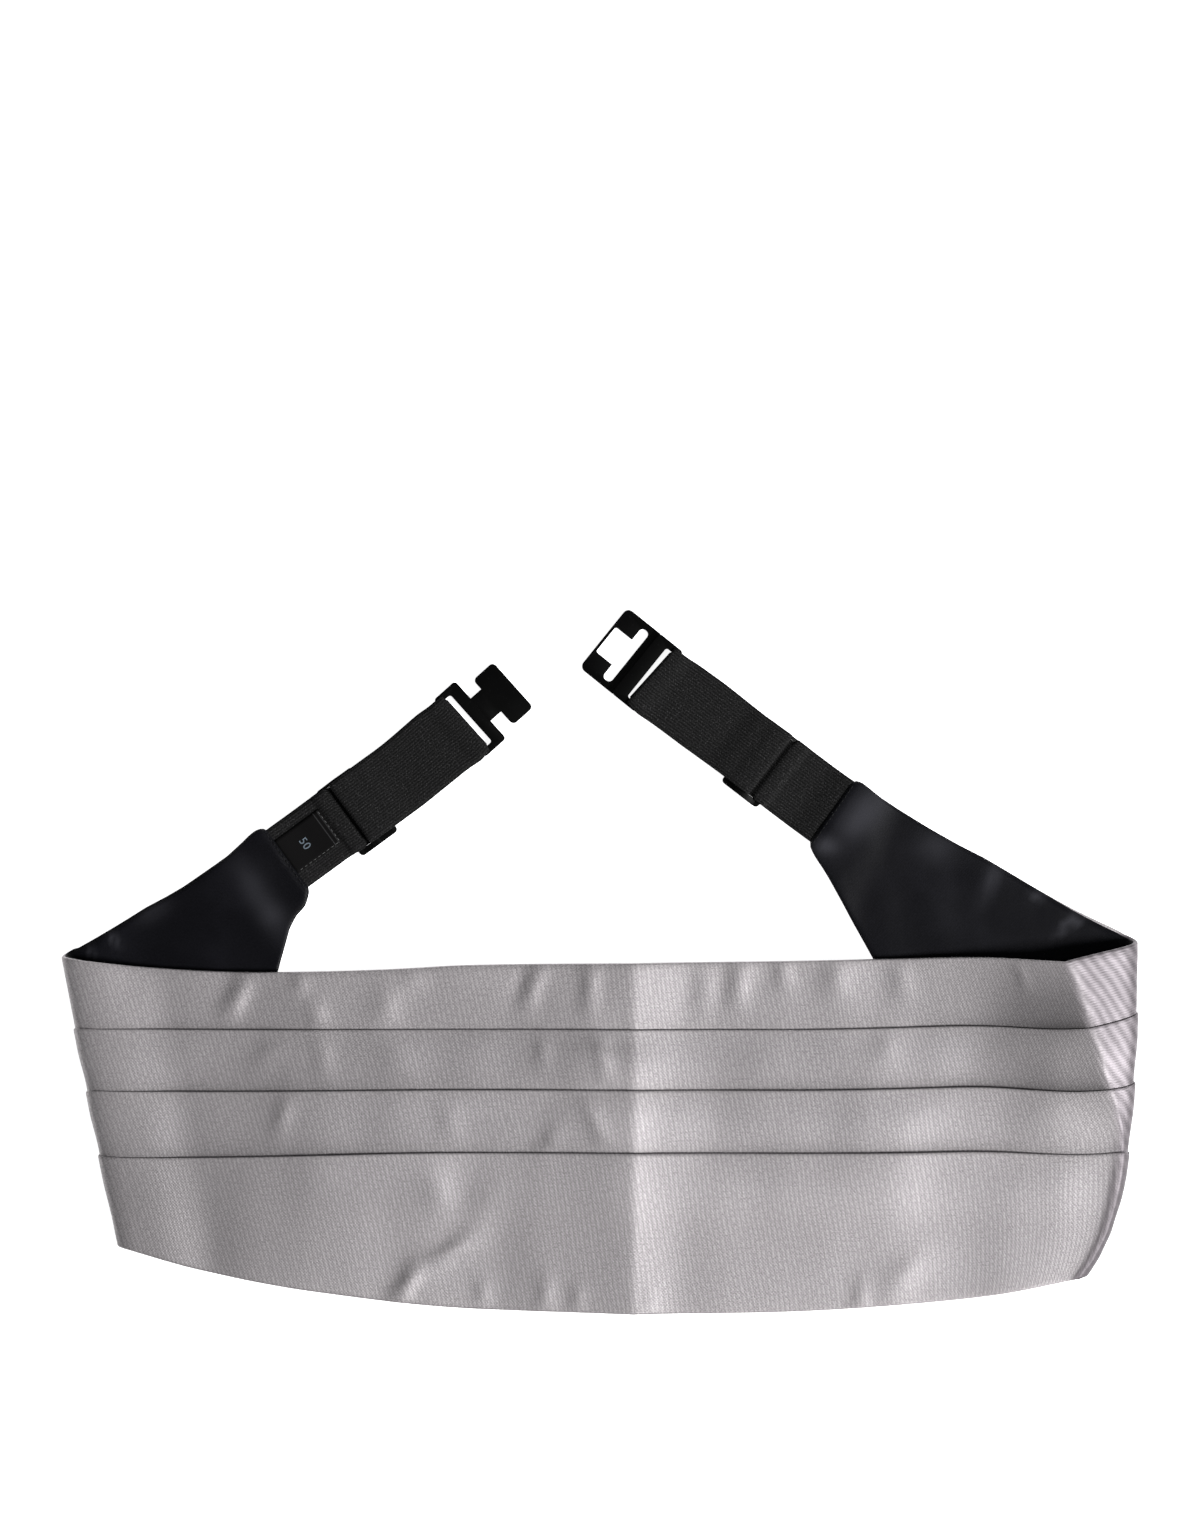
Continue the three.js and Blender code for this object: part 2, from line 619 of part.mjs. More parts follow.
// Puts geometry given as (along the strap, to its left, up) into place beside its tail.
// The strap bends gently aside on its way to the clasp, and the clasp itself is straight.
function layAlongStrap(geometry, side) {
  const { position } = geometry.attributes;
  const start = direction(side.strapHeading);
  const startLeft = direction(side.strapHeading + 90);
  const run = STRAP_REACH - side.shiftStart;
  for (let i = 0; i < position.count; i += 1) {
    const [along, leftward, up] = [position.getX(i), position.getY(i), position.getZ(i)];
    const share = clamp((along - side.shiftStart) / run, 0, 1);
    const lean = side.shift / run * 6 * share * (1 - share);
    const p = side.end.clone()
      .addScaledVector(start, along - lean * leftward)
      .addScaledVector(startLeft, side.shift * ease(share) + leftward);
    position.setXYZ(i, p.x, p.y, up);
  }
  geometry.computeVertexNormals();
  return geometry;
}

// Turns an extruded (along, up) outline into (along, left, up), centred on the strap.
function acrossStrap(shape, width, middle = 0) {
  const geometry = new THREE.ExtrudeGeometry(shape, { depth: width, bevelEnabled: false });
  geometry.rotateX(Math.PI / 2);
  geometry.translate(0, middle + width / 2, 0);
  return geometry;
}

const WINDOW_RUN = 4; // how far the strap takes to narrow for the slider

// How much of the elastic's half width is left at one place: upper is its edge away from the front.
function halfWidthAt(along, upper) {
  const full = ELASTIC_WIDTH / 2;
  const inSlot = SLOT_LENGTH / 2 - 2 * CLEARANCE;
  const inWindow = Math.min(full, SLIDER_WINDOW / 2 - CLEARANCE + (upper ? -SLIDER_SHIFT : SLIDER_SHIFT));
  const toSlot = ease((along - STRAP_REACH + PLATE_BAR + CLEARANCE) / PLATE_BAR);
  const fromSlider = Math.max(SLIDER_START - along, along - SLIDER_END);
  const toWindow = ease(1 - (fromSlider - CLEARANCE) / WINDOW_RUN);
  return lerp(lerp(full, inWindow, toWindow), inSlot, toSlot);
}

function stripOnStrap(side, route, wall, width, offset = 0) {
  const geometry = acrossStrap(stripShape(route, wall), width, -side.hand * offset);
  const { position } = geometry.attributes;
  const full = ELASTIC_WIDTH / 2;
  for (let i = 0; i < position.count; i += 1) {
    const leftward = position.getY(i);
    const upper = leftward * -side.hand > 0;
    position.setY(i, leftward * halfWidthAt(position.getX(i), upper) / full);
  }
  return layAlongStrap(geometry, side);
}

function solidOf(geometry) {
  const bare = geometry.clone();
  bare.deleteAttribute("normal");
  bare.deleteAttribute("uv");
  const merged = mergeVertices(bare, 1e-4);
  return new wasm.Manifold(new wasm.Mesh({
    numProp: 3,
    vertProperties: merged.attributes.position.array,
    triVerts: new Uint32Array(merged.index.array),
  }));
}

function geometryOfSolid(solid) {
  const mesh = solid.getMesh();
  return geometryOf(Array.from(mesh.vertProperties), Array.from(mesh.triVerts));
}

function joined(geometries) {
  return geometryOfSolid(geometries.map(solidOf).reduce((whole, part) => whole.add(part)));
}

// A rectangle with round corners, given by its length along the strap and its width across.
function roundedPath(path, start, end, width, corner) {
  const half = width / 2;
  const quarter = Math.PI / 2;
  path.moveTo(start + corner, -half);
  path.lineTo(end - corner, -half);
  path.absarc(end - corner, -half + corner, corner, -quarter, 0, false);
  path.absarc(end - corner, half - corner, corner, 0, quarter, false);
  path.absarc(start + corner, half - corner, corner, quarter, 2 * quarter, false);
  path.absarc(start + corner, -half + corner, corner, 2 * quarter, 3 * quarter, false);
  return path;
}

function flatPlate(shape, foot, wall = PLATE_WALL) {
  const geometry = new THREE.ExtrudeGeometry(shape, { depth: wall, bevelEnabled: false, curveSegments: 4 });
  return geometry.translate(0, 0, foot);
}

// The part of either clasp plate that the elastic goes round.
function plateBase(end) {
  const shape = roundedPath(new THREE.Shape(), -PLATE_BAR, end, PLATE_WIDTH, PLATE_CORNER);
  shape.holes.push(roundedPath(new THREE.Path(), 0, SLOT_WIDTH, SLOT_LENGTH, SLOT_CORNER));
  return flatPlate(shape, PLATE_FOOT);
}

// The joggle between a plate's base and its lower free end.
function plateStep(start, end, width) {
  const high = PLATE_FOOT;
  const low = PLATE_FOOT - PLATE_STEP;
  const line = (lift) => [[start - STEP_OVERLAP, high], [start, high], [end, low], [end + STEP_OVERLAP, low]]
    .map(([x, z]) => new THREE.Vector2(x, z + lift));
  return acrossStrap(new THREE.Shape([...line(0), ...line(PLATE_WALL).reverse()]), width);
}

function hookPlate() {
  const head = roundedPath(new THREE.Shape(), HOOK_HEAD_START, HOOK_HEAD_END, HOOK_HEAD_WIDTH, HOOK_CORNER);
  return joined([
    plateBase(HOOK_BASE),
    plateStep(HOOK_BASE, HOOK_HEAD_START, HOOK_NECK_WIDTH),
    flatPlate(head, PLATE_FOOT - PLATE_STEP),
  ]);
}

function eyePlate() {
  const crossEnd = EYE_CROSS_START + EYE_CROSS_WIDTH;
  const frame = roundedPath(new THREE.Shape(), EYE_FRAME_START, EYE_END, PLATE_WIDTH, EYE_CORNER);
  const squareEnd = new THREE.BoxGeometry(EYE_CORNER, PLATE_WIDTH, PLATE_WALL)
    .translate(EYE_FRAME_START + EYE_CORNER / 2, 0, PLATE_FOOT - PLATE_STEP + PLATE_WALL / 2);
  const cross = roundedPath(new THREE.Shape(), EYE_CROSS_START, crossEnd, EYE_CROSS_LENGTH, EYE_CROSS_CORNER);
  const stem = roundedPath(new THREE.Shape(), crossEnd - EYE_STEM_CORNER - STEP_OVERLAP, EYE_STEM_END,
    EYE_STEM_WIDTH, EYE_STEM_CORNER);
  const cutter = (shape) => solidOf(flatPlate(shape, -PLATE_FOOT, PLATE_FOOT * 4));
  const plate = solidOf(joined([
    plateBase(EYE_BASE),
    plateStep(EYE_BASE, EYE_FRAME_START, PLATE_WIDTH),
    flatPlate(frame, PLATE_FOOT - PLATE_STEP),
    squareEnd,
  ]));
  return geometryOfSolid(plate.subtract(cutter(cross)).subtract(cutter(stem)));
}

// A three-bar slide whose middle bar is carried higher by its arched side rails.
function slider(side) {
  const inner = SLIDER_WINDOW / 2;
  const width = 2 * (inner + SLIDER_RAIL);
  const shift = side.hand * SLIDER_SHIFT;
  const box = (start, foot) => new THREE.BoxGeometry(SLIDER_BAR, width, SLIDER_WALL)
    .translate(start + SLIDER_BAR / 2, shift, foot + SLIDER_WALL / 2);
  const middleStart = SLIDER_MIDDLE - SLIDER_BAR / 2;
  const arch = [
    [SLIDER_START, 0], [SLIDER_START + SLIDER_BAR, 0],
    [middleStart, CENTRE_BAR_FOOT], [middleStart + SLIDER_BAR, CENTRE_BAR_FOOT],
    [SLIDER_END - SLIDER_BAR, 0], [SLIDER_END, 0], [SLIDER_END, SLIDER_WALL],
    [middleStart + SLIDER_BAR, CENTRE_BAR_FOOT + SLIDER_WALL], [middleStart, CENTRE_BAR_FOOT + SLIDER_WALL],
    [SLIDER_START, SLIDER_WALL],
  ];
  const rail = new THREE.Shape(arch.map(([x, z]) => new THREE.Vector2(x, z)));
  const railMiddle = inner + SLIDER_RAIL / 2;
  return joined([
    box(SLIDER_START, 0),
    box(middleStart, CENTRE_BAR_FOOT),
    box(SLIDER_END - SLIDER_BAR, 0),
    acrossStrap(rail, SLIDER_RAIL, shift + railMiddle),
    acrossStrap(rail, SLIDER_RAIL, shift - railMiddle),
  ]);
}

const MATERIALS = {
  silk: new THREE.MeshStandardMaterial({ color: 0xa9a3a4, roughness: 0.45, metalness: 0 }),
  satin: new THREE.MeshStandardMaterial({ color: 0x0d0e12, roughness: 0.4, metalness: 0 }),
  elastic: new THREE.MeshStandardMaterial({ color: 0x161616, roughness: 0.9, metalness: 0 }),
  enamel: new THREE.MeshStandardMaterial({ color: 0x0b0b0b, roughness: 0.45, metalness: 0.3 }),
  label: new THREE.MeshStandardMaterial({ color: 0x0e0d0d, roughness: 0.7, metalness: 0 }),
};

function part(name, geometry, material) {
  const mesh = new THREE.Mesh(geometry, material);
  mesh.name = name;
  return mesh;
}

function strapParts(side, name, plateName, plate) {
  const elastic = stripOnStrap(side, elasticRoute(), ELASTIC_WALL, ELASTIC_WIDTH);
  return [
    part(`elastic_${name}`, elastic, MATERIALS.elastic),
    part(`slider_${name}`, layAlongStrap(slider(side), side), MATERIALS.enamel),
    part(plateName, layAlongStrap(plate.translate(STRAP_REACH, 0, 0), side), MATERIALS.enamel),
  ];
}

const label = stripOnStrap(LEFT, labelRoute(), LABEL_WALL, LABEL_WIDTH, LABEL_OFFSET);
const belt = new THREE.Group();
belt.add(
  part("pleated_shell", loftCloth(shellProfile, 1), MATERIALS.silk),
  part("lining", loftCloth(liningProfile, -1), MATERIALS.satin),
  ...strapParts(LEFT, "left", "hook_plate", hookPlate()),
  ...strapParts(RIGHT, "right", "eye_plate", eyePlate()),
  part("size_label", label, MATERIALS.label),
);

// Moves the origin to the middle of the floor under it all.
const bounds = new THREE.Box3().setFromObject(belt, true);
const middle = bounds.getCenter(point(0, 0));
belt.position.set(-middle.x, -middle.y, -bounds.min.z);

const cummerbund = new THREE.Group();
cummerbund.add(belt);

export default cummerbund;
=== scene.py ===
# %% [markdown]
# # A pleated cummerbund, laid out flat
# A cummerbund is a pleated sash that is worn with evening dress. This one lies front up. Its two
# ends are turned behind the front, so their black lining shows above the top edge, and the elastic
# straps with the two halves of the clasp are spread out above them.
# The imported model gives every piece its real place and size. Here each soft piece is made again as
# fine cloth and each metal piece with soft pressed edges, and all of them get their finishes.

# %% Load the frame
import math

import bpy
import numpy as np
from mathutils import Matrix, Vector


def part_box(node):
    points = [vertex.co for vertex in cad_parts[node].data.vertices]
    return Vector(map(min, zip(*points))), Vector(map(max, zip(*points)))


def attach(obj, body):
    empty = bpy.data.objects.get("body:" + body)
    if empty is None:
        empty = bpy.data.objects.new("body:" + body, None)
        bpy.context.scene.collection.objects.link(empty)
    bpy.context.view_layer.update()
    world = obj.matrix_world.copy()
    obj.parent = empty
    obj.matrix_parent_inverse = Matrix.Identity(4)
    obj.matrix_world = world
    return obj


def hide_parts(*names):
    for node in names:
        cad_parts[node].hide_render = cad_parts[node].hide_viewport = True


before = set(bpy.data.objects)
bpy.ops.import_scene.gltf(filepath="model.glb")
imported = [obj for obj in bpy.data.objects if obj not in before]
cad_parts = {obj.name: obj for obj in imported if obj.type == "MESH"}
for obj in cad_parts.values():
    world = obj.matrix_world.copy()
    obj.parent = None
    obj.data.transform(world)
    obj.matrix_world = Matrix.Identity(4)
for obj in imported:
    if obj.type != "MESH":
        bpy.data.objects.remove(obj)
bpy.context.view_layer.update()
MM = 0.001

# %% [markdown]
# ## The camera
# The picture was taken from straight above, so one scale holds all over it: 0.4 mm for each of its
# pixels. A long lens high above the table keeps it that way. The camera hangs over the middle of
# the picture, which is further up than the middle of the piece.

# %% Camera
PIXEL = 0.4 * MM
PHOTO_WIDTH = 1200
PHOTO_HEIGHT = 1530
CREASE_PIXEL = (633, 963)  # the crease's top end in the photograph
CREASE_INSET = (228.4, 140.6)  # the same from the shell's lower left corner, in mm
CLOTH_LEVEL = 4 * MM
SENSOR = 36
LENS = 100

shell_low, shell_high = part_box("pleated_shell")
CREASE_PLACE = (shell_low[0] / MM + CREASE_INSET[0], shell_low[1] / MM + CREASE_INSET[1])
camera_height = LENS / SENSOR * PHOTO_HEIGHT * PIXEL + CLOTH_LEVEL
camera_x = CREASE_PLACE[0] * MM + (PHOTO_WIDTH / 2 - CREASE_PIXEL[0]) * PIXEL
camera_y = CREASE_PLACE[1] * MM + (CREASE_PIXEL[1] - PHOTO_HEIGHT / 2) * PIXEL
bpy.ops.object.camera_add(location=(camera_x, camera_y, camera_height), rotation=(0, 0, 0))
camera = bpy.context.object
camera.name = "camera"
camera.data.sensor_fit = "VERTICAL"
camera.data.sensor_height = SENSOR
camera.data.lens = LENS
bpy.context.scene.camera = camera
print("camera at", [round(v, 3) for v in camera.location])

# %% [markdown]
# ## Table and light
# Dark cloth and black enamel only look black when nothing bright stands straight above them, where
# the camera is. So the sky is dim and the light comes from the sides: a soft lamp on the lower
# right, which puts slopes that face left and the upper side of each pleat in the shade, and two
# weak ones round the rest. The paper under it all is bright enough to show no shadow.

# %% Table, lamps and sky
def lamp(name, place, size, power):
    bpy.ops.object.light_add(type="AREA", location=place)
    light = bpy.context.object
    light.name = name
    light.data.shape = "DISK"
    light.data.size = size
    light.data.energy = power
    light.rotation_euler = (-Vector(place)).to_track_quat("-Z", "Y").to_euler()
    return light


LAMPS = [
    {"name": "key", "place": (1.37, -0.55, 1.34), "size": 0.6, "power": 70},
    {"name": "fill", "place": (-1.3, -0.4, 1.5), "size": 1.4, "power": 3},
    {"name": "back", "place": (0.3, 1.7, 1.2), "size": 1.2, "power": 2.5},
]
SKY_COLOUR = (0.92, 0.95, 1.0, 1.0)
SKY_STRENGTH = 0.08
TABLE_SIZE = 9
TABLE_DROP = 0.15 * MM

bpy.ops.object.select_all(action="DESELECT")
for settings in LAMPS:
    lamp(**settings)

world = bpy.data.worlds.new("sky")
bpy.context.scene.world = world
world.use_nodes = True
background = world.node_tree.nodes["Background"]
background.inputs["Color"].default_value = SKY_COLOUR
background.inputs["Strength"].default_value = SKY_STRENGTH
bpy.context.scene.view_settings.view_transform = "Standard"

bpy.ops.mesh.primitive_plane_add(size=TABLE_SIZE, location=(0, 0, -TABLE_DROP))
table = bpy.context.object
table.name = "table"

# %% [markdown]
# ## Writing finishes as sums
# A finish is a net of small nodes. It reads better as arithmetic, so a socket is wrapped in a
# class whose operators add the Math nodes, and one method makes any other node.

# %% Sockets that can be added and multiplied
class Value:
    def __init__(self, finish, socket):
        self.finish = finish
        self.socket = socket

    def math(self, operation, *others):
        return self.finish.node("ShaderNodeMath", {"operation": operation}, [self, *others])

    def __add__(self, other):
        return self.math("ADD", other)

    def __radd__(self, other):
        return self.math("ADD", other)

    def __mul__(self, other):
        return self.math("MULTIPLY", other)

    def __rmul__(self, other):
        return self.math("MULTIPLY", other)

    def __sub__(self, other):
        return self.math("SUBTRACT", other)

    def __rsub__(self, other):
        return (self * -1) + other

    def __truediv__(self, other):
        return self.math("DIVIDE", other)

    def wave(self):
        """From 0 to 1 and back, once for each whole number."""
        return (self * (2 * math.pi)).math("SINE") * 0.5 + 0.5

    def step(self, low, high):
        """0 below low, 1 above high, smooth between."""
        inputs = {"Value": self, "From Min": low, "From Max": high}
        return self.finish.node("ShaderNodeMapRange", {"interpolation_type": "SMOOTHSTEP"}, inputs)


class Finish:
    def __init__(self, name, **constants):
        self.material = bpy.data.materials.new(name)
        self.material.use_nodes = True
        self.tree = self.material.node_tree
        self.shader = self.tree.nodes["Principled BSDF"]
        for label, value in constants.items():
            self.shader.inputs[label.replace("_", " ").title().replace("Ior", "IOR")].default_value = value

    def node(self, kind, settings, inputs, output=0):
        """Any node: its settings first, then the values or links of its sockets."""
        made = self.tree.nodes.new(kind)
        for label, value in settings.items():
            setattr(made, label, value)
        pairs = inputs.items() if isinstance(inputs, dict) else enumerate(inputs)
        for label, value in pairs:
            self.plug(made.inputs[label], value)
        return Value(self, made.outputs[output])

    def plug(self, socket, value):
        if isinstance(value, Value):
            self.tree.links.new(value.socket, socket)
        else:
            socket.default_value = value

    def feed(self, label, value):
        self.plug(self.shader.inputs[label], value)

    def cut(self, name="cut"):
        """The two directions of the cloth's own cut, in millimetres."""
        uv = self.node("ShaderNodeUVMap", {"uv_map": name}, {})
        u = self.node("ShaderNodeSeparateXYZ", {}, [uv], 0)
        v = Value(self, u.socket.node.outputs[1])
        return u / MM, v / MM

    def place(self):
        return self.node("ShaderNodeTexCoord", {}, {}, "Object")

    def across(self):
        """The same place in millimetres to the right of the crease's top end and up from it."""
        split = self.node("ShaderNodeSeparateXYZ", {}, [self.place()], 0)
        other = Value(self, split.socket.node.outputs[1])
        return split / MM - CREASE_PLACE[0], other / MM - CREASE_PLACE[1]

    def noise(self, where, scale, detail=2.0, rough=0.5):
        inputs = {"Vector": where, "Scale": scale, "Detail": detail, "Roughness": rough}
        return self.node("ShaderNodeTexNoise", {"noise_dimensions": "3D"}, inputs, "Fac")

    def point(self, x, y, z=0.0):
        return self.node("ShaderNodeCombineXYZ", {}, [x, y, z])

    def blend(self, share, first, second):
        """From the first colour to the second."""
        settings = {"data_type": "RGBA"}
        made = self.node("ShaderNodeMix", settings, {"Factor": share}, 2).socket.node
        for socket, colour in zip([s for s in made.inputs if s.type == "RGBA"], (first, second)):
            self.plug(socket, colour)
        return Value(self, [s for s in made.outputs if s.type == "RGBA"][0])

    def relief(self, height, depth):
        """Bumps of that depth, in metres, where height goes from 0 to 1."""
        inputs = {"Height": height, "Distance": depth, "Strength": 1.0}
        return self.node("ShaderNodeBump", {}, inputs)


def grey(level, warm=0.0):
    """A linear grey; warm above 0 leans to red, below 0 to blue."""
    return (level * (1 + warm), level, level * (1 - warm), 1.0)


print("finish tools ready")

# %% [markdown]
# ## The sash as one band
# The sash is cut as one long panel, deep in the middle and narrowing to the straps, so it is
# described as one band from the left tail's end to the right tail's end. The band is a row of
# sections; each has a top, a middle and a bottom point, and what lies between is a smooth curve.
# On the front they stand on a shallow bow, at the two turns they go round a roll of cloth, and
# behind the front they head for the straps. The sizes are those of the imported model, in
# millimetres, with the middle of the front's top edge at zero.

# %% Sizes of the sash
FRONT_DEPTH = 140.6
SHELL_WALL = 1.0
PLY_GAP = 0.3
PLEAT_GAP = 0.3
LAYER_GAP = 0.6
PLEAT_POCKET = 8
SOFT_FLANK = 28  # where the raised fold has come down again
CREASE_LIFT = 1.6
CREASE_RUN = 34
PRESSED_LIFT = 2.4  # what the cloth itself adds to that crease
PRESSED_RUN = 84
REST_RUN = 90
TAIL_MARGIN = 2.3
SEAM_DEPTH = 12
SEAM_RUN = 14
ELASTIC_WIDTH = 29.2
ELASTIC_WALL = 1.2
CLEARANCE = 0.3
SEAM_COVER = 2  # how far the tail's end lies over the strap

LIP = 2 * SHELL_WALL + PLEAT_GAP
SEAM_GAP = ELASTIC_WALL + 2 * CLEARANCE
TAIL_LEVEL = LIP + PLY_GAP / 2
FLOOR_LEVEL = SHELL_WALL + PLY_GAP / 2
OVER_LEVEL = TAIL_LEVEL + PLY_GAP + 2 * SHELL_WALL + LAYER_GAP
OUTER_SKIN = PLY_GAP / 2 + SHELL_WALL

# way from the crease to the turn, rise of the top edge and drop of the bottom edge
LEFT_EDGES = {
    "way": [0, 0.3, 0.44, 0.57, 0.72, 0.88, 1],
    "top": [0, -0.006, -0.017, -0.023, -0.0245, -0.0117, 0.009],
    "bottom": [1, 0.987, 0.972, 0.949, 0.917, 0.87, 0.82],
}
RIGHT_EDGES = {
    "way": [0, 0.35, 0.6, 0.82, 1],
    "top": [0, 0.006, 0.0128, 0.0178, 0.006],
    "bottom": [1, 0.992, 0.972, 0.945, 0.905],
}
# drop of each pleat's fold below the crease's top end, at the crease and at the two turns
PLEATS = [
    {"front": 0.19, "left": 0.191, "right": 0.175, "tail": 0.25, "round": {-1: 1.5, 1: 3.0}, "crest": 4.0,
     "open": [0.45, 0.5, 0.4, 0.12, 0.08, 0.1, 0.2, 0.25, 0.4, 0.45, 0.4],
     "dark": [0.1, 0.3, 0.22, 0, 0, 0, 0, 0, 0.1, 0.3, 0.45]},
    {"front": 0.362, "left": 0.371, "right": 0.352, "tail": 0.5, "round": {-1: 1.8, 1: 6.0}, "crest": 5.4,
     "open": [0.4, 0.5, 0.5, 0.5, 0.45, 0.3, 0.3, 0.5, 0.7, 0.7, 0.45],
     "dark": [0.1, 0.3, 0.3, 0.3, 0.12, 0, 0.05, 0.3, 0.42, 0.52, 0.6]},
    {"front": 0.541, "left": 0.562, "right": 0.54, "tail": 0.75, "round": {-1: 0.7, 1: 7.6}, "crest": 4.4,
     "open": [0.3, 0.45, 0.5, 0.55, 0.5, 0.35, 0.4, 0.55, 0.7, 0.7, 0.35],
     "dark": [0.1, 0.3, 0.36, 0.4, 0.22, 0.05, 0.1, 0.32, 0.38, 0.38, 0.2]},
]
# from the crease, in mm: how far each pleat's fold stands open there and how much painted shadow lies above
# it
OPEN_AT = [-215, -190, -150, -110, -60, -10, 20, 70, 110, 150, 180]
SIDES = {
    "left": {
        "hand": -1, "edges": LEFT_EDGES,
        "top_out": (-228.4, 2.8), "bottom_out": (-206, -113.2),
        "radius": {"top": 4, "middle": 3.6, "bottom": 3}, "ridge": {"top": 0, "middle": 0, "bottom": 0},
        "inset": {"top": 7.5, "middle": 7, "bottom": 6.5}, "bow": 0, "brow": 0, "dip": 1.1, "puff_run": 34,
        "trim_at": [0, 4, 8, 12, 20, 27, 42, 50, 60, 96],
        "trim_top": [0.1, 0.2, 0.5, 1.2, 2.3, 2.4, 2.5, 2.0, 1.0, 0.5],
        "trim_bottom": [0.5, 1.8, 4.8, 6.2, 5.2, 4.2, 3.6, 3.2, 3.0, 2.6],
        "slack_above": [0, 0, 0, 0, 0, 0, 0], "slack_below": [-0.8, -0.8, 0, 0, 0, 0.7, 0],
        "plate_turn": 5.5, "loop_skew": 0,
        "tail_length": 96.2, "bearing": 22.9, "top_angle": 29, "top_flare": 34,
        "bottom_angle": 45, "flare": 73, "heading": 36.3, "shift": 2.0, "shift_start": 56,
    },
    "right": {
        "hand": 1, "edges": RIGHT_EDGES,
        "top_out": (201.6, 8.8), "bottom_out": (181.6, -125),
        "radius": {"top": 4.5, "middle": 3.2, "bottom": 2.4},
        "ridge": {"top": 17, "middle": 9.4, "bottom": 7.3},
        "inset": {"top": 28, "middle": 5.2, "bottom": 3.2}, "bow": 8, "brow": 0.35, "dip": 4.2,
        "puff_run": 62, "puff_power": 1.6,
        "trim_at": [0, 6, 10, 14, 22, 38, 52, 64, 106, 130],
        "trim_top": [0, 0.8, 1.2, 1.7, 1.9, 1.9, 1.4, 0.5, 0.4, -0.4],
        "trim_bottom": [0, 0.9, 1.0, 0.8, 0.6, 1.5, 2.4, 2.6, 2.4, 1.5],
        "slack_above": [0.6, 0.6, 0.6, 0.1, 0.4, 0, 0], "slack_below": [0, 0, 0, 0, 0.6, 0.7, 0],
        "plate_turn": 3.1, "loop_skew": 1.3,
        "tail_length": 130.7, "bearing": 22.7, "top_angle": 26, "top_flare": 32,
        "bottom_angle": 40, "flare": 57, "heading": 35.8, "shift": 2.1, "shift_start": 0,
    },
}
SLACK_AT = [-12, 22, 30, 47, 66, 86, 91]  # along the strap, for how much wider it is there
ROWS = ("top", "middle", "bottom")
print("front", FRONT_DEPTH, "mm deep with", len(PLEATS), "pleats")

# %% Curves that the band follows
def point(x, y, z=0.0):
    return np.array([x, y, z], float)


def direction(degrees):
    return point(math.cos(math.radians(degrees)), math.sin(math.radians(degrees)))


def ease(share):
    t = np.clip(share, 0, 1)
    return t * t * (3 - 2 * t)


def mix(a, b, share):
    return a + (b - a) * share


def bezier(points, t):
    a, b, c, d = points
    return a * (1 - t) ** 3 + b * 3 * t * (1 - t) ** 2 + c * 3 * t * t * (1 - t) + d * t ** 3


def table_value(ways, values, way):
    """A smooth curve through a table, read at one place."""
    last = len(ways) - 1
    i = 0
    while i < last - 1 and way > ways[i + 1]:
        i += 1

    def slope(k):
        low, high = max(0, k - 1), min(last, k + 1)
        return (values[high] - values[low]) / (ways[high] - ways[low])

    span = ways[i + 1] - ways[i]
    t = (way - ways[i]) / span
    first, second = slope(i) * span, slope(i + 1) * span
    return (values[i] * (2 * t**3 - 3 * t**2 + 1) + first * (t**3 - 2 * t**2 + t)
            + values[i + 1] * (3 * t**2 - 2 * t**3) + second * (t**3 - t**2))


def complete(side):
    """Adds what follows from a side's sizes: its chord, its strap's heading and its tail's end."""
    hand = side["hand"]

    def turned(degrees):
        return degrees if hand < 0 else 180 - degrees

    top, bottom = point(*side["top_out"]), point(*side["bottom_out"])
    chord = (top - bottom) / np.linalg.norm(top - bottom)
    side["top_corner"] = top
    side["bottom_corner"] = bottom
    side["chord"] = chord
    side["outward"] = point(chord[1], -chord[0]) * hand
    side["strap_heading"] = turned(side["heading"])
    side["shift"] *= -hand
    side["plate_turn"] *= -hand
    side["end"] = top + direction(turned(side["bearing"])) * side["tail_length"]
    for name in ("top_angle", "top_flare", "bottom_angle", "flare"):
        side[name] = turned(side[name])
    return side


for side in SIDES.values():
    complete(side)
print("strap headings", {name: side["strap_heading"] for name, side in SIDES.items()})

# %% [markdown]
# ### The two turns
# Where an end is turned behind the front, the cloth goes over a roll. On the left it is pressed
# nearly flat. On the right it stands up in a loose cone with a ridge along its top, because the
# longer tail pulls at it. Each roll is two curves, one over the top and one underneath.

# %% Paths round a turn
CLIMB = {"top": 0.28, "middle": 0.42, "bottom": 0.56}
ROUND = 0.55


def turn_path(side, row):
    radius = side["radius"][row]
    outside = {
        "top": side["top_corner"],
        "middle": (side["top_corner"] + side["bottom_corner"]) / 2 + side["outward"] * side["bow"],
        "bottom": side["bottom_corner"],
    }[row] - side["outward"] * OUTER_SKIN
    inset = max(side["inset"][row], radius)
    ridge_level = max(side["ridge"][row], TAIL_LEVEL + 2 * radius)
    middle_level = TAIL_LEVEL + radius
    fall = ridge_level - middle_level
    brow = side["brow"]

    def place(inward, along, z):
        spot = outside - side["outward"] * inward + side["chord"] * along
        return point(spot[0], spot[1], z)

    before = inset * CLIMB[row] + (side["dip"] if row == "top" else 0)
    after = radius * CLIMB[row] * 1.6
    face = (
        place(inset, -before, ridge_level),
        place(inset * (1 - ROUND), -before * (1 - ROUND), ridge_level - brow * fall),
        place(0, -before * 0.15, middle_level + ROUND * fall * (1 - brow * 0.5)),
        place(0, 0, middle_level),
    )
    under = (
        place(0, 0, middle_level),
        place(0, after * 0.35, middle_level - ROUND * radius),
        place(radius * (1 - ROUND), after * 0.7, TAIL_LEVEL),
        place(radius, after, TAIL_LEVEL),
    )
    return face, under


def rise_at_ridge(side):
    return turn_path(side, "top")[0][0][1]


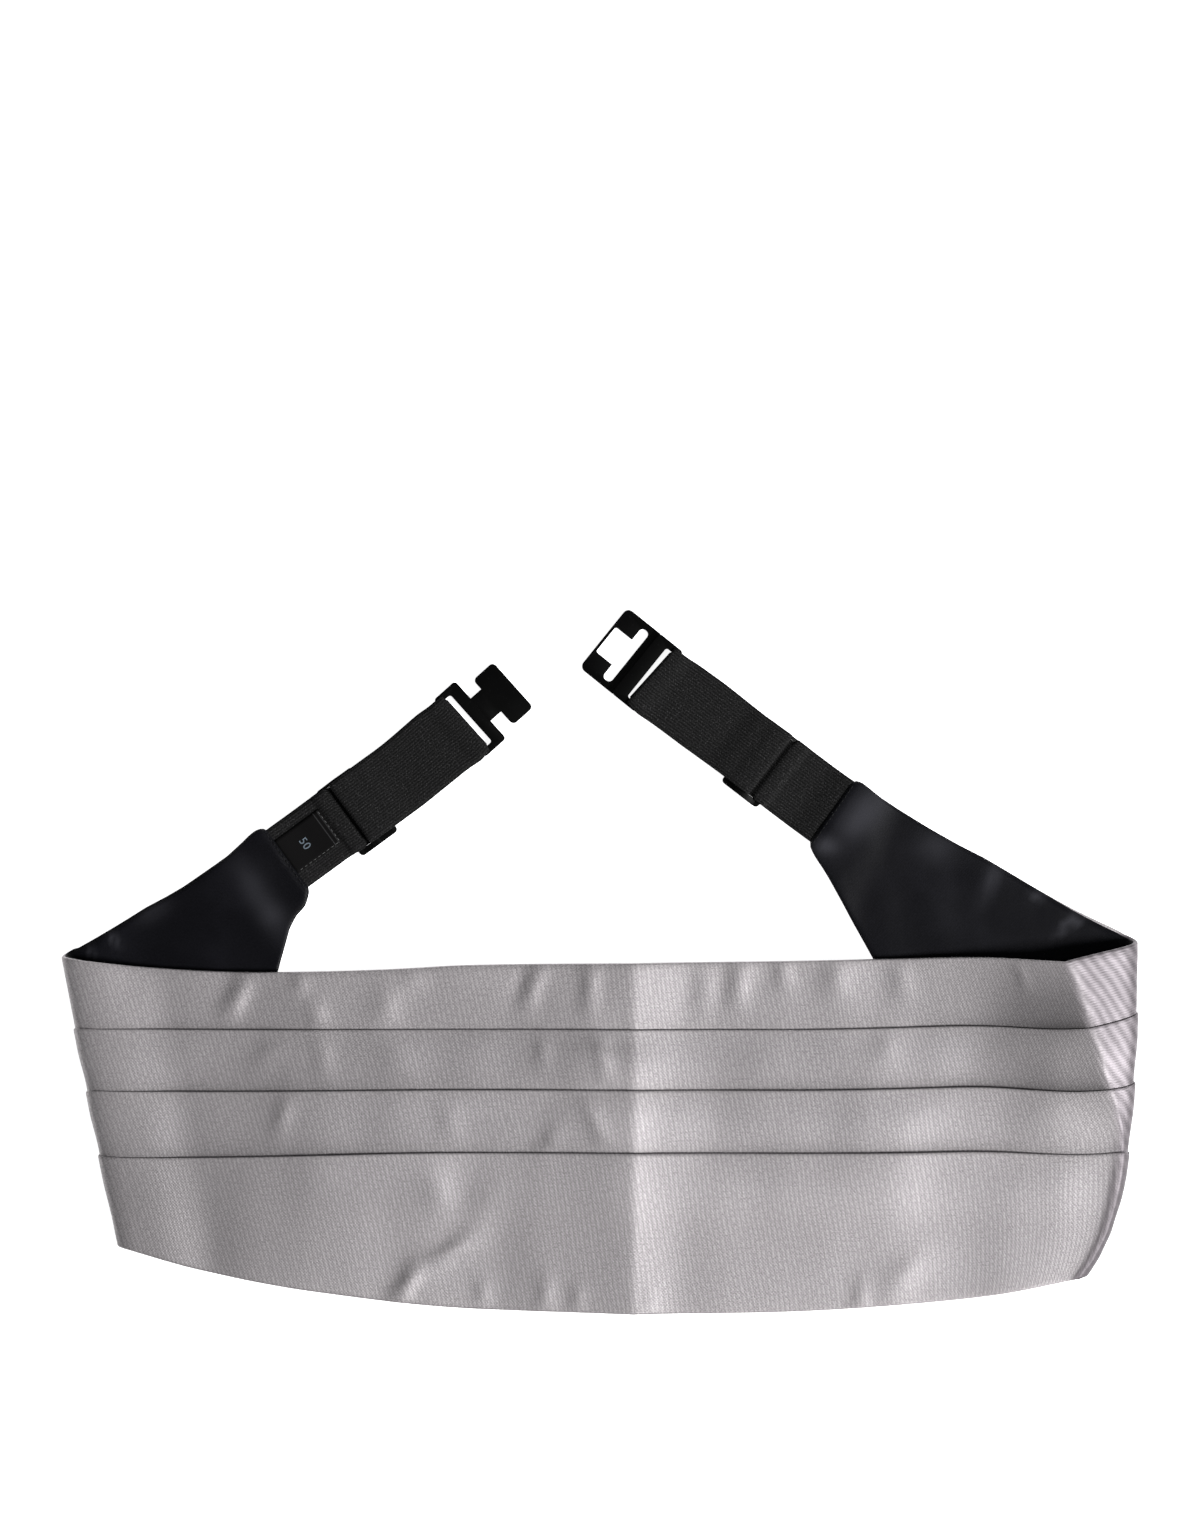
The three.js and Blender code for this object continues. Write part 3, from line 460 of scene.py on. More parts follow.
def turn_sections(side, face_steps, under_steps):
    rise = rise_at_ridge(side)
    paths = {row: turn_path(side, row) for row in ROWS}
    sections = []
    for part, steps in ((0, face_steps), (1, under_steps)):
        for i in range(1, steps + 1):
            spots = {row: bezier(paths[row][part], i / steps) for row in ROWS}
            share = i / steps if part == 0 else 1
            sections.append({**spots, "side": side, "rise": rise, "tail": 0, "front": 0, "open": 0,
                             "roll": float(side["hand"] > 0), "round": ease(share),
                             "ridge": (1 - share) ** 1.2, "crest": 1 - ease(share)})
    return sections


print("right ridge stands", round(turn_path(SIDES["right"], "top")[0][0][2], 1), "mm up")

# %% [markdown]
# ### Tails and front
# Each tail narrows along two curves to just over the strap's width. The last part of it parts in
# two layers, because the strap is sewn in between. The front lies on the table in its middle,
# carries a pressed crease there, and rises on to the tails towards both turns.

# %% Sections of the tails and of the front
CORNER_RUN = 5.5  # the tail's two end corners are round
CORNER_TUCK = 2.6


def tail_curves(side):
    half = ELASTIC_WIDTH / 2 + TAIL_MARGIN
    across = direction(side["strap_heading"] + 90 * side["hand"]) * -half

    def edge(row, start_angle, end_angle, corner, pull):
        start = bezier(turn_path(side, row)[1], 1) * (1, 1, 0)
        length = np.linalg.norm(corner - start)
        return (start, start + direction(start_angle) * length * pull,
                corner - direction(end_angle) * length * pull, corner)

    end = side["end"] + direction(side["strap_heading"]) * SEAM_COVER
    return {
        "top": edge("top", side["top_angle"], side["top_flare"], end + across, 0.3),
        "bottom": edge("bottom", side["bottom_angle"], side["flare"], end - across, 0.35),
    }


def tail_sections(side, steps):
    curves = tail_curves(side)
    rise = rise_at_ridge(side)
    length = np.linalg.norm(side["end"] - side["top_corner"])
    sections = []
    for i in range(1, steps + 1):
        t = 1 - (1 - i / steps) ** 1.25
        to_end = (1 - t) * length
        parted = ease((SEAM_DEPTH + SEAM_RUN - to_end) / SEAM_RUN)
        level = LIP + mix(PLY_GAP, SEAM_GAP, parted) / 2
        top = bezier(curves["top"], t) + point(0, 0, level)
        bottom = bezier(curves["bottom"], t) + point(0, 0, level)
        corner = max(0, 1 - to_end / CORNER_RUN)
        tuck = CORNER_TUCK * (1 - math.sqrt(1 - corner**2)) / np.linalg.norm(top - bottom)
        width = np.linalg.norm(top - bottom)
        over = tuck + np.interp(to_end, side["trim_at"], side["trim_top"]) / width
        under = tuck + np.interp(to_end, side["trim_at"], side["trim_bottom"]) / width
        top, bottom = mix(top, bottom, over), mix(bottom, top, under)
        sections.append({"top": top, "middle": (top + bottom) / 2, "bottom": bottom, "rise": rise,
                         "side": side, "tail": t, "front": 0, "open": parted, "roll": 0.0,
                         "round": 1.0, "ridge": 0.0, "crest": 0.0})
    return sections


def covered_to(side):
    """How far from the crease the tail's lower edge still lies under the front."""
    curve = tail_curves(side)["bottom"]
    spots = [bezier(curve, i / 40) for i in range(41)]
    return min(p[0] * side["hand"] for p in spots if p[1] < FRONT_DEPTH * 0.03)


def front_sections(side, steps):
    start = {row: turn_path(side, row)[0][0] for row in ROWS}
    covered = covered_to(side)
    edges = side["edges"]
    bulge = (start["middle"] - (start["top"] + start["bottom"]) / 2) * (1, 1, 0)
    sections = []
    for i in range(steps + 1):
        way = i / steps
        section = {"side": side, "tail": 0, "front": 1 - way, "open": 0, "roll": 0.0, "round": 0.0,
                   "ridge": ease(1 - (1 - way) * 4), "crest": ease(1 - (1 - way) * 3.2) ** 1.5}
        for row, up in (("top", FRONT_DEPTH), ("bottom", -FRONT_DEPTH)):
            slipped = start[row][1] - up * edges[row][-1]
            y = up * table_value(edges["way"], edges[row], way) + slipped * way**6
            section[row] = point(start[row][0] * way, y)
        section["rise"] = section["top"][1]
        section["middle"] = (section["top"] + section["bottom"]) / 2 + bulge * way**4
        for row in ROWS:
            p = section[row]
            on_tail = ease((abs(p[0]) - covered + REST_RUN + CLEARANCE) / REST_RUN)
            to_ridge = max(0, 1 - abs(start[row][0] - p[0]) / side["puff_run"])
            puff = to_ridge**side["puff_power"] if side["hand"] > 0 else ease(to_ridge)
            crease = CREASE_LIFT * max(0, 1 - abs(p[0]) / CREASE_RUN) ** 1.5
            crease += PRESSED_LIFT * max(0, 1 - abs(p[0]) / PRESSED_RUN) ** 1.6
            p[2] = mix(FLOOR_LEVEL, OVER_LEVEL, on_tail) + (start[row][2] - OVER_LEVEL) * puff + crease
        sections.append(section)
    return sections


# %% The band as arrays
FRONT_STEPS = 102
FACE_STEPS = 22
UNDER_STEPS = 14
TAIL_STEPS = 52


def band_half(side):
    return [*turn_sections(side, FACE_STEPS, UNDER_STEPS), *tail_sections(side, TAIL_STEPS)]


left_half = [*front_sections(SIDES["left"], FRONT_STEPS), *band_half(SIDES["left"])]
right_half = [*front_sections(SIDES["right"], FRONT_STEPS)[1:], *band_half(SIDES["right"])]
SECTIONS = [*left_half[::-1], *right_half]
BAND = {key: np.array([s[key] for s in SECTIONS], float)
        for key in (*ROWS, "rise", "tail", "front", "open", "roll", "round", "ridge", "crest")}
BAND["hand"] = np.array([s["side"]["hand"] for s in SECTIONS])
BAND["outward"] = np.array([s["side"]["outward"] for s in SECTIONS])
BAND["at_turn"] = ease(1 - BAND["front"] * 9) * ease(1 - BAND["tail"] * 7) * (BAND["hand"] > 0)
BAND["width"] = (np.linalg.norm(BAND["top"] - BAND["middle"], axis=1)
                 + np.linalg.norm(BAND["middle"] - BAND["bottom"], axis=1))
steps_along = np.linalg.norm(np.diff(BAND["middle"], axis=0), axis=1)
BAND["along"] = np.concatenate([[0], np.cumsum(steps_along)])
BAND["to_end"] = np.minimum(BAND["along"], BAND["along"][-1] - BAND["along"])
print("sections", len(SECTIONS), "length", round(BAND["along"][-1]), "mm")


# the right turn's outline: how far, in mm, it lies outside a plain bow
OUTLINE_AT = [0, 0.12, 0.25, 0.4, 0.55, 0.66, 0.76, 0.86, 0.94, 1]
OUTLINE_OUT = [0, -1.2, -1.6, -1.0, 0.2, 1.6, 2.9, 3.1, 1.9, 0]
# and how far its ridge lies inside a plain curve
RIDGE_AT = [0, 0.2, 0.38, 0.47, 0.56, 0.66, 0.75, 1]
RIDGE_IN = [0, 2.6, 2.4, 0.6, -1.6, -0.8, 0, 0]


def on_band(stops):
    """Places on the band: one row of stops, measured from the top edge, for each section."""
    v = (stops / BAND["width"][:, None])[:, :, None]
    top, middle, bottom = (BAND[row][:, None, :] for row in ROWS)
    bulge = np.interp(v, OUTLINE_AT, OUTLINE_OUT) * BAND["at_turn"][:, None, None]
    at_ridge = (BAND["ridge"] * (BAND["hand"] > 0))[:, None, None]
    bulge = bulge - np.interp(v, RIDGE_AT, RIDGE_IN) * at_ridge
    return (top * (1 - v) * (1 - 2 * v) + middle * 4 * v * (1 - v) + bottom * v * (2 * v - 1)
            + BAND["outward"][:, None, :] * bulge)


def out_of_band(stops):
    """The direction out of the shell's face at those places."""
    width = BAND["width"][:, None]
    inside = np.clip(stops, 0, width)
    along = np.gradient(on_band(inside), axis=0)
    low = np.clip(inside - 0.02 * width, 0, 0.96 * width)
    down = on_band(low + 0.04 * width) - on_band(low)
    out = np.cross(down, along)
    return out / np.linalg.norm(out, axis=2, keepdims=True)


# %% [markdown]
# ## Cloth from a grid
# A woven cloth is a grid of threads, so each soft piece starts as Blender's grid primitive and its
# points are moved to where the cloth lies. The grid keeps the cloth's own cut in its UV map, in
# metres, so that weave and ribs follow the cloth round every fold. Solidify then gives it its wall.

# %% Lay a grid of points as a cloth
def lay_cloth(name, spots, cut, wall, shift=CREASE_PLACE):
    """spots: rows by columns of places in mm. cut: the same of flat places in mm."""
    rows, columns = spots.shape[:2]
    bpy.ops.object.select_all(action="DESELECT")
    bpy.ops.mesh.primitive_grid_add(x_subdivisions=columns - 1, y_subdivisions=rows - 1, size=1)
    cloth = bpy.context.object
    cloth.name = name
    mesh = cloth.data
    grid = np.zeros(len(mesh.vertices) * 3)
    mesh.vertices.foreach_get("co", grid)
    grid = grid.reshape(-1, 3)
    column = np.rint((grid[:, 0] + 0.5) * (columns - 1)).astype(int)
    row = np.rint((grid[:, 1] + 0.5) * (rows - 1)).astype(int)
    placed = (spots + (*shift, 0)) * MM
    mesh.vertices.foreach_set("co", placed[row, column].ravel())
    uv = mesh.uv_layers[0]
    uv.name = "cut"
    corner = np.zeros(len(mesh.loops), int)
    mesh.loops.foreach_get("vertex_index", corner)
    flat = cut[row, column] * MM
    uv.data.foreach_set("uv", flat[corner].ravel())
    mesh.update()
    bpy.ops.object.mode_set(mode="EDIT")
    bpy.ops.mesh.select_all(action="SELECT")
    bpy.ops.mesh.normals_make_consistent(inside=False)
    bpy.ops.object.mode_set(mode="OBJECT")
    solid = cloth.modifiers.new("wall", "SOLIDIFY")
    solid.thickness = wall * MM
    solid.offset = 0
    bpy.ops.object.modifier_apply(modifier="wall")
    bpy.ops.object.shade_smooth()
    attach(cloth, "root")
    print(name, "points", len(mesh.vertices), "triangles", sum(len(p.vertices) - 2 for p in mesh.polygons))
    return cloth


def strip_length(spots):
    """Length along each row of places, from its first one."""
    steps = np.linalg.norm(np.diff(spots, axis=1), axis=2)
    return np.concatenate([np.zeros((len(spots), 1)), np.cumsum(steps, axis=1)], axis=1)


# %% [markdown]
# ### Where the pleats fold
# Three pleats run along the sash and open towards its top edge, like long shallow pockets. Each is
# a Z-fold: the band above runs on behind it, turns back up, and turns over again as the edge that
# shows. On the tails all of them come closer together as the cloth narrows.

# %% Pleat lines and the shell's way through them
SILK_WALL = 0.42
HEM = 5
HEM_AT_END = 1.9  # at the tails' ends it is narrower, and widens along HEM_RUN
HEM_RUN = 14
HEM_BELOW = 0.38  # how far it lies below the gap between shell and lining
END_DROP = SEAM_GAP / 2 + 0.1  # how far lining and hem come down on the strap
END_RUN = 2.6
BAND_POINTS = 10
FLANK_POINTS = 10
LOOSE_RUN = 7  # how far from its fold a pleat still stands open


def pleat_lines():
    width = BAND["width"]
    folds = []
    for pleat in PLEATS:
        at_turn = np.where(BAND["hand"] < 0, pleat["left"], pleat["right"])
        drop = mix(at_turn, pleat["front"], ease(BAND["front"] * 1.5)) * FRONT_DEPTH
        drop += np.where(BAND["hand"] < 0, pleat["round"][-1], pleat["round"][1]) * BAND["round"]
        drop += pleat["crest"] * BAND["crest"] * (BAND["hand"] > 0)
        folds.append(mix(drop + BAND["rise"], width * pleat["tail"], ease(BAND["tail"] * 1.4)))
    lines = []
    for i, fold in enumerate(folds):
        room = (folds[i + 1] if i + 1 < len(folds) else width) - fold
        lines.append({
            "fold": fold,
            "open": np.interp(BAND["middle"][:, 0], OPEN_AT, PLEATS[i]["open"]),
            "pocket": fold + np.minimum(PLEAT_POCKET, room * 0.45),
            "flank": fold + np.minimum(SOFT_FLANK, room * 0.9),
        })
    return lines


def shell_way():
    """Stops from the top edge and heights off the middle of the two layers, for each section."""
    gap = mix(PLY_GAP, SEAM_GAP, BAND["open"]) / 2
    to_end = BAND["to_end"]
    base = gap + SHELL_WALL - SILK_WALL / 2
    hem = -(gap + HEM_BELOW) + END_DROP * (1 - ease(to_end / END_RUN))
    hem_width = mix(HEM_AT_END, HEM, ease(to_end / HEM_RUN))
    flap = base + mix(0.8, LIP - SHELL_WALL, ease(BAND["front"] * 6))
    inner = (base + flap) / 2
    width = BAND["width"]
    zero = np.zeros_like(width)
    stops, heights = [], []

    def add(stop, height):
        stops.append(stop + zero)
        heights.append(height + zero)

    def edge(turning_in):
        """The silk is turned over the edge and in under the lining."""
        middle, half = (base + hem) / 2, (base - hem) / 2
        angles = np.linspace(-90, 90, 7)
        for angle in (angles if turning_in else angles[::-1]):
            bulge = half * 0.9 * (1 - math.cos(math.radians(angle)))
            near = SILK_WALL / 2 + bulge
            add(near if turning_in else width - near, middle + half * math.sin(math.radians(angle)))

    add(hem_width, hem)
    add(hem_width * 0.6, hem)
    edge(True)
    start = stops[-1]
    for pleat in pleat_lines():
        fold, pocket, flank = pleat["fold"], pleat["pocket"], pleat["flank"]
        for i in range(1, BAND_POINTS):
            add(mix(start, fold - 1.5, i / (BAND_POINTS - 1)), base)
        add(fold, base)
        add(mix(fold, pocket, 0.5), base)
        add(pocket - 0.4, base)
        add(pocket, mix(base, inner, 0.5))
        add(pocket - 0.4, inner)
        add(mix(fold, pocket, 0.5), inner)
        add(fold + 0.9, inner)
        half = (flap - inner) / 2
        lip_lift = BAND["front"] ** 0.25 * pleat["open"] * (1 + 0.35 * np.sin(BAND["along"] / 19 + fold / 9)
                                                            + 0.2 * np.sin(BAND["along"] / 7.3 + fold / 5))
        for angle in (-90, -45, 0, 45, 90):
            add(fold + half * (1 - math.cos(math.radians(angle))) + 0.1,
                inner + half + lip_lift * (0.6 + 0.4 * math.sin(math.radians(angle)))
                + half * math.sin(math.radians(angle)))
        for i in range(1, FLANK_POINTS + 1):
            stop = mix(fold, flank, (i / FLANK_POINTS) ** 1.3)
            down = ease((stop - pocket) / np.maximum(flank - pocket, 0.1))
            loose = lip_lift * (1 - ease((stop - fold) / LOOSE_RUN))
            add(stop, mix(flap, base, down) + loose)
        start = flank
    for i in range(1, 2 * BAND_POINTS):
        add(mix(start, width - 1.6, i / (2 * BAND_POINTS - 1)), base)
    edge(False)
    add(width - hem_width * 0.6, hem)
    add(width - hem_width, hem)
    return np.stack(stops, axis=1), np.stack(heights, axis=1)


shell_stops, shell_heights = shell_way()
print("points across the shell", shell_stops.shape[1])

# %% [markdown]
# ### Soft folds of the front
# Silk that has been packed and laid out again is never flat. The front has a few soft folds: short
# puckers that start at an edge, long diagonal ones, and slow waves. Each is a row of a short list:
# where it is, which way it runs, how long and wide it is, and how far it stands up.

# %% Folds
# x, y from the crease's top end; run: direction it runs in; long, wide and lift in millimetres
FOLDS = [
    {"x": -158, "y": -13, "run": 62, "long": 11, "wide": 3.2, "lift": 1.6},
    {"x": -133, "y": -8, "run": 75, "long": 5, "wide": 3, "lift": 0.9},
    {"x": -126.5, "y": -21, "run": 98, "long": 8, "wide": 3.4, "lift": 0.7},
    {"x": -137, "y": -14, "run": 141, "long": 16, "wide": 5, "lift": 0.5},
    {"x": -99, "y": -17, "run": 80, "long": 12, "wide": 5, "lift": 0.6},
    {"x": -88, "y": -6, "run": 85, "long": 7, "wide": 5, "lift": 0.6},
    {"x": -45, "y": -9, "run": 70, "long": 9, "wide": 2.5, "lift": -0.4},
    {"x": -40, "y": -9, "run": 70, "long": 11, "wide": 3, "lift": 1.0},
    {"x": -17, "y": -9, "run": 88, "long": 12, "wide": 3, "lift": 1.1},
    {"x": 29, "y": -11, "run": 85, "long": 16, "wide": 5, "lift": 0.8},
    {"x": 42, "y": -8, "run": 80, "long": 12, "wide": 4, "lift": 0.9},
    {"x": 60, "y": -4, "run": 95, "long": 7, "wide": 3.4, "lift": 0.7},
    {"x": 81, "y": -6, "run": 78, "long": 9, "wide": 5, "lift": 0.8},
    {"x": 107, "y": -7, "run": 100, "long": 8, "wide": 4.5, "lift": 0.6},
    {"x": 155, "y": -5, "run": 115, "long": 4.5, "wide": 1.6, "lift": 0.6},
    {"x": -90.5, "y": -128.5, "run": 55, "long": 9, "wide": 3, "lift": 1.3},
    {"x": -73, "y": -115.5, "run": 30, "long": 12, "wide": 3.2, "lift": 1.0},
    {"x": -60, "y": -99, "run": 50, "long": 15, "wide": 6, "lift": 0.6},
    {"x": -78, "y": -92, "run": 100, "long": 11, "wide": 5, "lift": 0.5},
    {"x": -33, "y": -72, "run": 50, "long": 6, "wide": 3, "lift": 0.9},
    {"x": -60, "y": -132, "run": 82, "long": 6, "wide": 3, "lift": 0.5},
    {"x": -35, "y": -132, "run": 84, "long": 8, "wide": 3, "lift": 0.6},
    {"x": -22, "y": -134, "run": 85, "long": 6, "wide": 2.6, "lift": 0.5},
    {"x": 7, "y": -135, "run": 80, "long": 8, "wide": 3, "lift": 0.2},
    {"x": 91, "y": -133, "run": 83, "long": 8, "wide": 3, "lift": 0.5},
    {"x": -146, "y": -37, "run": 50, "long": 10, "wide": 4, "lift": 0.6},
    {"x": -124, "y": -38, "run": 94, "long": 10, "wide": 3.4, "lift": 0.5},
    {"x": -36, "y": -35, "run": 85, "long": 7, "wide": 2.6, "lift": 0.6},
    {"x": -140, "y": -61, "run": 72, "long": 9, "wide": 2.6, "lift": 0.8},
    {"x": -73, "y": -64, "run": 98, "long": 8, "wide": 4, "lift": 0.4},
    {"x": -12, "y": -38, "run": 97, "long": 11, "wide": 3.2, "lift": 0.7},
    {"x": -95, "y": -37, "run": 75, "long": 10, "wide": 7, "lift": 0.5},
    {"x": -15, "y": -63, "run": 114, "long": 12, "wide": 3.2, "lift": 0.7},
    {"x": 107, "y": -65, "run": 60, "long": 14, "wide": 8, "lift": 0.35},
    {"x": 109, "y": -123, "run": 48, "long": 14, "wide": 5, "lift": 0.5},
    {"x": 101, "y": -32, "run": 70, "long": 9, "wide": 5, "lift": 0.5},
]
# slow waves: how many mm from one to the next, which way they run, and their height
WAVES = [
    {"step": 61, "run": 84, "lift": 0.40, "start": 0.15},
    {"step": 37, "run": 97, "lift": 0.20, "start": 0.6},
    {"step": 88, "run": 66, "lift": 0.36, "start": 0.4},
    {"step": 23, "run": 78, "lift": 0.08, "start": 0.85},
]


def soft_folds(x, y):
    lift = np.zeros_like(x)
    for fold in FOLDS:
        turn = math.radians(fold["run"])
        along = (x - fold["x"]) * math.cos(turn) + (y - fold["y"]) * math.sin(turn)
        across = -(x - fold["x"]) * math.sin(turn) + (y - fold["y"]) * math.cos(turn)
        spread = fold["wide"] * (1 + 0.5 * np.abs(along) / fold["long"])
        lift += fold["lift"] * np.exp(-(along / fold["long"]) ** 2 - (across / spread) ** 2)
    for wave in WAVES:
        turn = math.radians(wave["run"])
        across = -x * math.sin(turn) + y * math.cos(turn)
        bend = 6 * np.sin(y / 31 + wave["start"] * 9)
        turns = (across + bend) / wave["step"] + wave["start"]
        lift += wave["lift"] * (0.5 + 0.5 * np.sin(2 * math.pi * turns))
    return lift


print("soft folds", len(FOLDS), "waves", len(WAVES))

# %% The shell
def shell_spots():
    width = BAND["width"][:, None]
    base = on_band(np.clip(shell_stops, 0, width))
    out = out_of_band(shell_stops)
    spots = base + out * shell_heights[:, :, None]
    on_front = ease(BAND["front"] * 9)[:, None]
    outer = shell_heights > 0.5
    folds = soft_folds(spots[:, :, 0], spots[:, :, 1]) * on_front * outer
    for pleat in pleat_lines():
        near_fold = np.abs(shell_stops - pleat["fold"][:, None])
        folds = folds * (0.35 + 0.65 * ease(near_fold / 7))
    spots += out * folds[:, :, None]
    return spots


spots = shell_spots()
along = np.repeat(BAND["along"][:, None], shell_stops.shape[1], axis=1)
shell_cut = np.stack([along, strip_length(spots)], axis=2)
shell = lay_cloth("silk_shell", spots, shell_cut, SILK_WALL)
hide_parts("pleated_shell")

# %% [markdown]
# ### The lining
# The lining is one plain panel of satin with its edge turned under. Round the right turn a thin
# rim of the silk shows past it; on the tails it reaches right out to the edge. At each tail's end
# it comes down on to the strap, where a row of small stitches holds it.

# %% The lining
SATIN_WALL = 0.34
LINING_INSET = 1.1
LINING_OVERHANG = -0.12  # on the tails it covers the shell's edge
LINING_POINTS = 34
EDGE_RISE = 0.35  # its edge is turned under and stands this much higher
EDGE_RUN = 1.6
RUMPLE = 0.22  # height of the slight waves on the tails


def lining_spots():
    width = BAND["width"][:, None]
    gap = mix(PLY_GAP, SEAM_GAP, BAND["open"])[:, None] / 2
    share = np.linspace(0, 1, LINING_POINTS)[None, :]
    shows_rim = np.where(BAND["hand"] > 0, 1 - ease(BAND["tail"] / 0.45), BAND["front"] > 0)[:, None]
    inset = mix(LINING_OVERHANG, LINING_INSET, shows_rim)
    stops = inset + (width - 2 * inset) * share
    to_edge = np.minimum(stops - inset, width - inset - stops)
    height = -(gap + SHELL_WALL - SATIN_WALL / 2) + EDGE_RISE * (1 - ease(to_edge / EDGE_RUN))
    height += END_DROP * (1 - ease(BAND["to_end"][:, None] / END_RUN))
    along = BAND["along"][:, None]
    rumple = RUMPLE * np.sin(along / 9.5 + 3.2 * share) * np.sin(5.5 * share + along / 21)
    height -= np.clip(rumple, 0, 1) * ease(to_edge / 5) * ease(BAND["tail"] * 3)[:, None]
    return on_band(stops) + out_of_band(stops) * height[:, :, None], stops


spots, lining_stops = lining_spots()
along = np.repeat(BAND["along"][:, None], LINING_POINTS, axis=1)
lining_cut = np.stack([along, lining_stops], axis=2)
lining = lay_cloth("satin_lining", spots, lining_cut, SATIN_WALL)
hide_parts("lining")

# %% [markdown]
# ## The straps
# Each strap is woven elastic, 29 mm wide. It leaves the tail, goes over the slider's first bar,
# under its middle bar and over its last one, round the bar of the clasp and back on top of itself,
# and ends round the slider's middle bar. Its side view is one line that goes up and over, so that
# line is grown piece by piece, and the ribbon is laid along it.

# %% The line that a strap follows
STRAP_REACH = 91.2
SLIDER_START = 26.5
SLIDER_LENGTH = 18
SLIDER_BAR = 2.4
SLIDER_WALL = 1.2
SLIDER_ABOVE = 15.0  # its outer edges and its window's, from the strap's middle
SLIDER_BELOW = 16.8
WINDOW_ABOVE = 13.7
WINDOW_BELOW = 14.3
WINDOW_PLAY = 0.08
PLATE_WALL = 1.0
PLATE_WIDTH = 30.8
PLATE_BAR = 3.0
SLOT_WIDTH = 3.4
SLOT_LENGTH = 25

ON_FLOOR = ELASTIC_WALL / 2
IN_SEAM = LIP + SEAM_GAP / 2
OVER_BAR = SLIDER_WALL + CLEARANCE + ELASTIC_WALL / 2
SECOND_PLY = ELASTIC_WALL * 1.5 + CLEARANCE
CENTRE_BAR_FOOT = 2 * (ELASTIC_WALL + CLEARANCE)
CENTRE_BAR_LOOP = SLIDER_WALL / 2 + CLEARANCE + ELASTIC_WALL / 2
CENTRE_BAR_LEVEL = CENTRE_BAR_FOOT + SLIDER_WALL / 2
PLATE_FOOT = ELASTIC_WALL + CLEARANCE
PLATE_LOOP = PLATE_WALL / 2 + CLEARANCE + ELASTIC_WALL / 2
PLATE_LEVEL = PLATE_FOOT + PLATE_WALL / 2
SLIDER_END = SLIDER_START + SLIDER_LENGTH
SLIDER_MIDDLE = SLIDER_START + SLIDER_LENGTH / 2
RISE = 3.4
SHOULDER = 0.4


class Route:
    """A line of (distance along the strap, height) in millimetres."""

    def __init__(self, x, z):
        self.spots = [(x, z)]

    def run(self, to, step=1.6):
        x, z = self.spots[-1]
        steps = max(1, math.ceil(abs(to - x) / step))
        self.spots += [(mix(x, to, i / steps), z) for i in range(1, steps + 1)]
        return self

    def slope(self, to, level, steps=7):
        x, z = self.spots[-1]
        self.spots += [(mix(x, to, i / steps), mix(z, level, ease(i / steps))) for i in range(1, steps + 1)]
        return self

    def loop(self, radius, towards, upward, steps=12):
        x, z = self.spots[-1]
        for i in range(1, steps + 1):
            angle = math.pi * i / steps
            rise = radius * (1 - math.cos(angle))
            self.spots.append((x + towards * radius * math.sin(angle), z + upward * rise))
        return self


def elastic_route():
    first_bar_end = SLIDER_START + SLIDER_BAR
    last_bar_start = SLIDER_END - SLIDER_BAR
    loop_at = SLIDER_MIDDLE - SLIDER_BAR / 2 + CLEARANCE
    route = Route(-SEAM_DEPTH, IN_SEAM).run(1).slope(SEAM_RUN, ON_FLOOR, 10)
    route.run(SLIDER_START - RISE).slope(SLIDER_START - SHOULDER, OVER_BAR)
    route.run(first_bar_end + SHOULDER).slope(first_bar_end + RISE, ON_FLOOR)
    route.run(last_bar_start - RISE).slope(last_bar_start - SHOULDER, OVER_BAR)
    route.run(SLIDER_END + SHOULDER).slope(SLIDER_END + RISE, ON_FLOOR)
    route.run(STRAP_REACH - CLEARANCE - 0.4).loop(PLATE_LOOP, 1, 1)
    route.run(STRAP_REACH - PLATE_BAR - SHOULDER)
    route.slope(STRAP_REACH - PLATE_BAR - 2 * RISE, SECOND_PLY)
    route.run(SLIDER_END + 3 * RISE)
    route.slope(SLIDER_END + SHOULDER, OVER_BAR + ELASTIC_WALL + CLEARANCE + PLEAT_GAP)
    route.slope(SLIDER_MIDDLE + SLIDER_BAR, CENTRE_BAR_LEVEL + CENTRE_BAR_LOOP)
    route.run(loop_at).loop(CENTRE_BAR_LOOP, -1, -1).run(loop_at + RISE)
    return np.array(route.spots)


def strap_place(side, along, leftward, up):
    """Places given along the strap, to its left and up become places on the table."""
    run = STRAP_REACH - side["shift_start"]
    share = np.clip((along - side["shift_start"]) / run, 0, 1)
    lean = side["shift"] / run * 6 * share * (1 - share)
    start, left = direction(side["strap_heading"]), direction(side["strap_heading"] + 90)
    onward = along - lean * leftward
    aside = side["shift"] * ease(share) + leftward
    x = side["end"][0] + start[0] * onward + left[0] * aside
    y = side["end"][1] + start[1] * onward + left[1] * aside
    return np.stack([x, y, up + np.zeros_like(x)], axis=-1)


# %% The elastic ribbons
ACROSS_POINTS = 15


def half_width_at(side, along, upper, high):
    """Full width, but narrower where the strap goes through the slider and through the slot."""
    above = np.interp(along, SLACK_AT, side["slack_above"])
    below = np.interp(along, SLACK_AT, side["slack_below"])
    full = ELASTIC_WIDTH / 2 + np.where(upper, above, below)
    in_window = np.where(upper, WINDOW_ABOVE, WINDOW_BELOW) - WINDOW_PLAY
    in_frame = (along > SLIDER_START) & (along < SLIDER_END)
    below_rail = ease((2.05 - high) / 0.35) * in_frame
    round_bar = ease((4.7 - high) / 0.5) * (high > 2) * (np.abs(along - SLIDER_MIDDLE) < 2.7)
    in_slot = SLOT_LENGTH / 2 - 2 * CLEARANCE
    to_slot = ease((1.15 - np.abs(high - PLATE_LEVEL)) / 0.5) * (along > STRAP_REACH - 1)
    return mix(mix(full, in_window, np.maximum(below_rail, round_bar)), in_slot, to_slot)


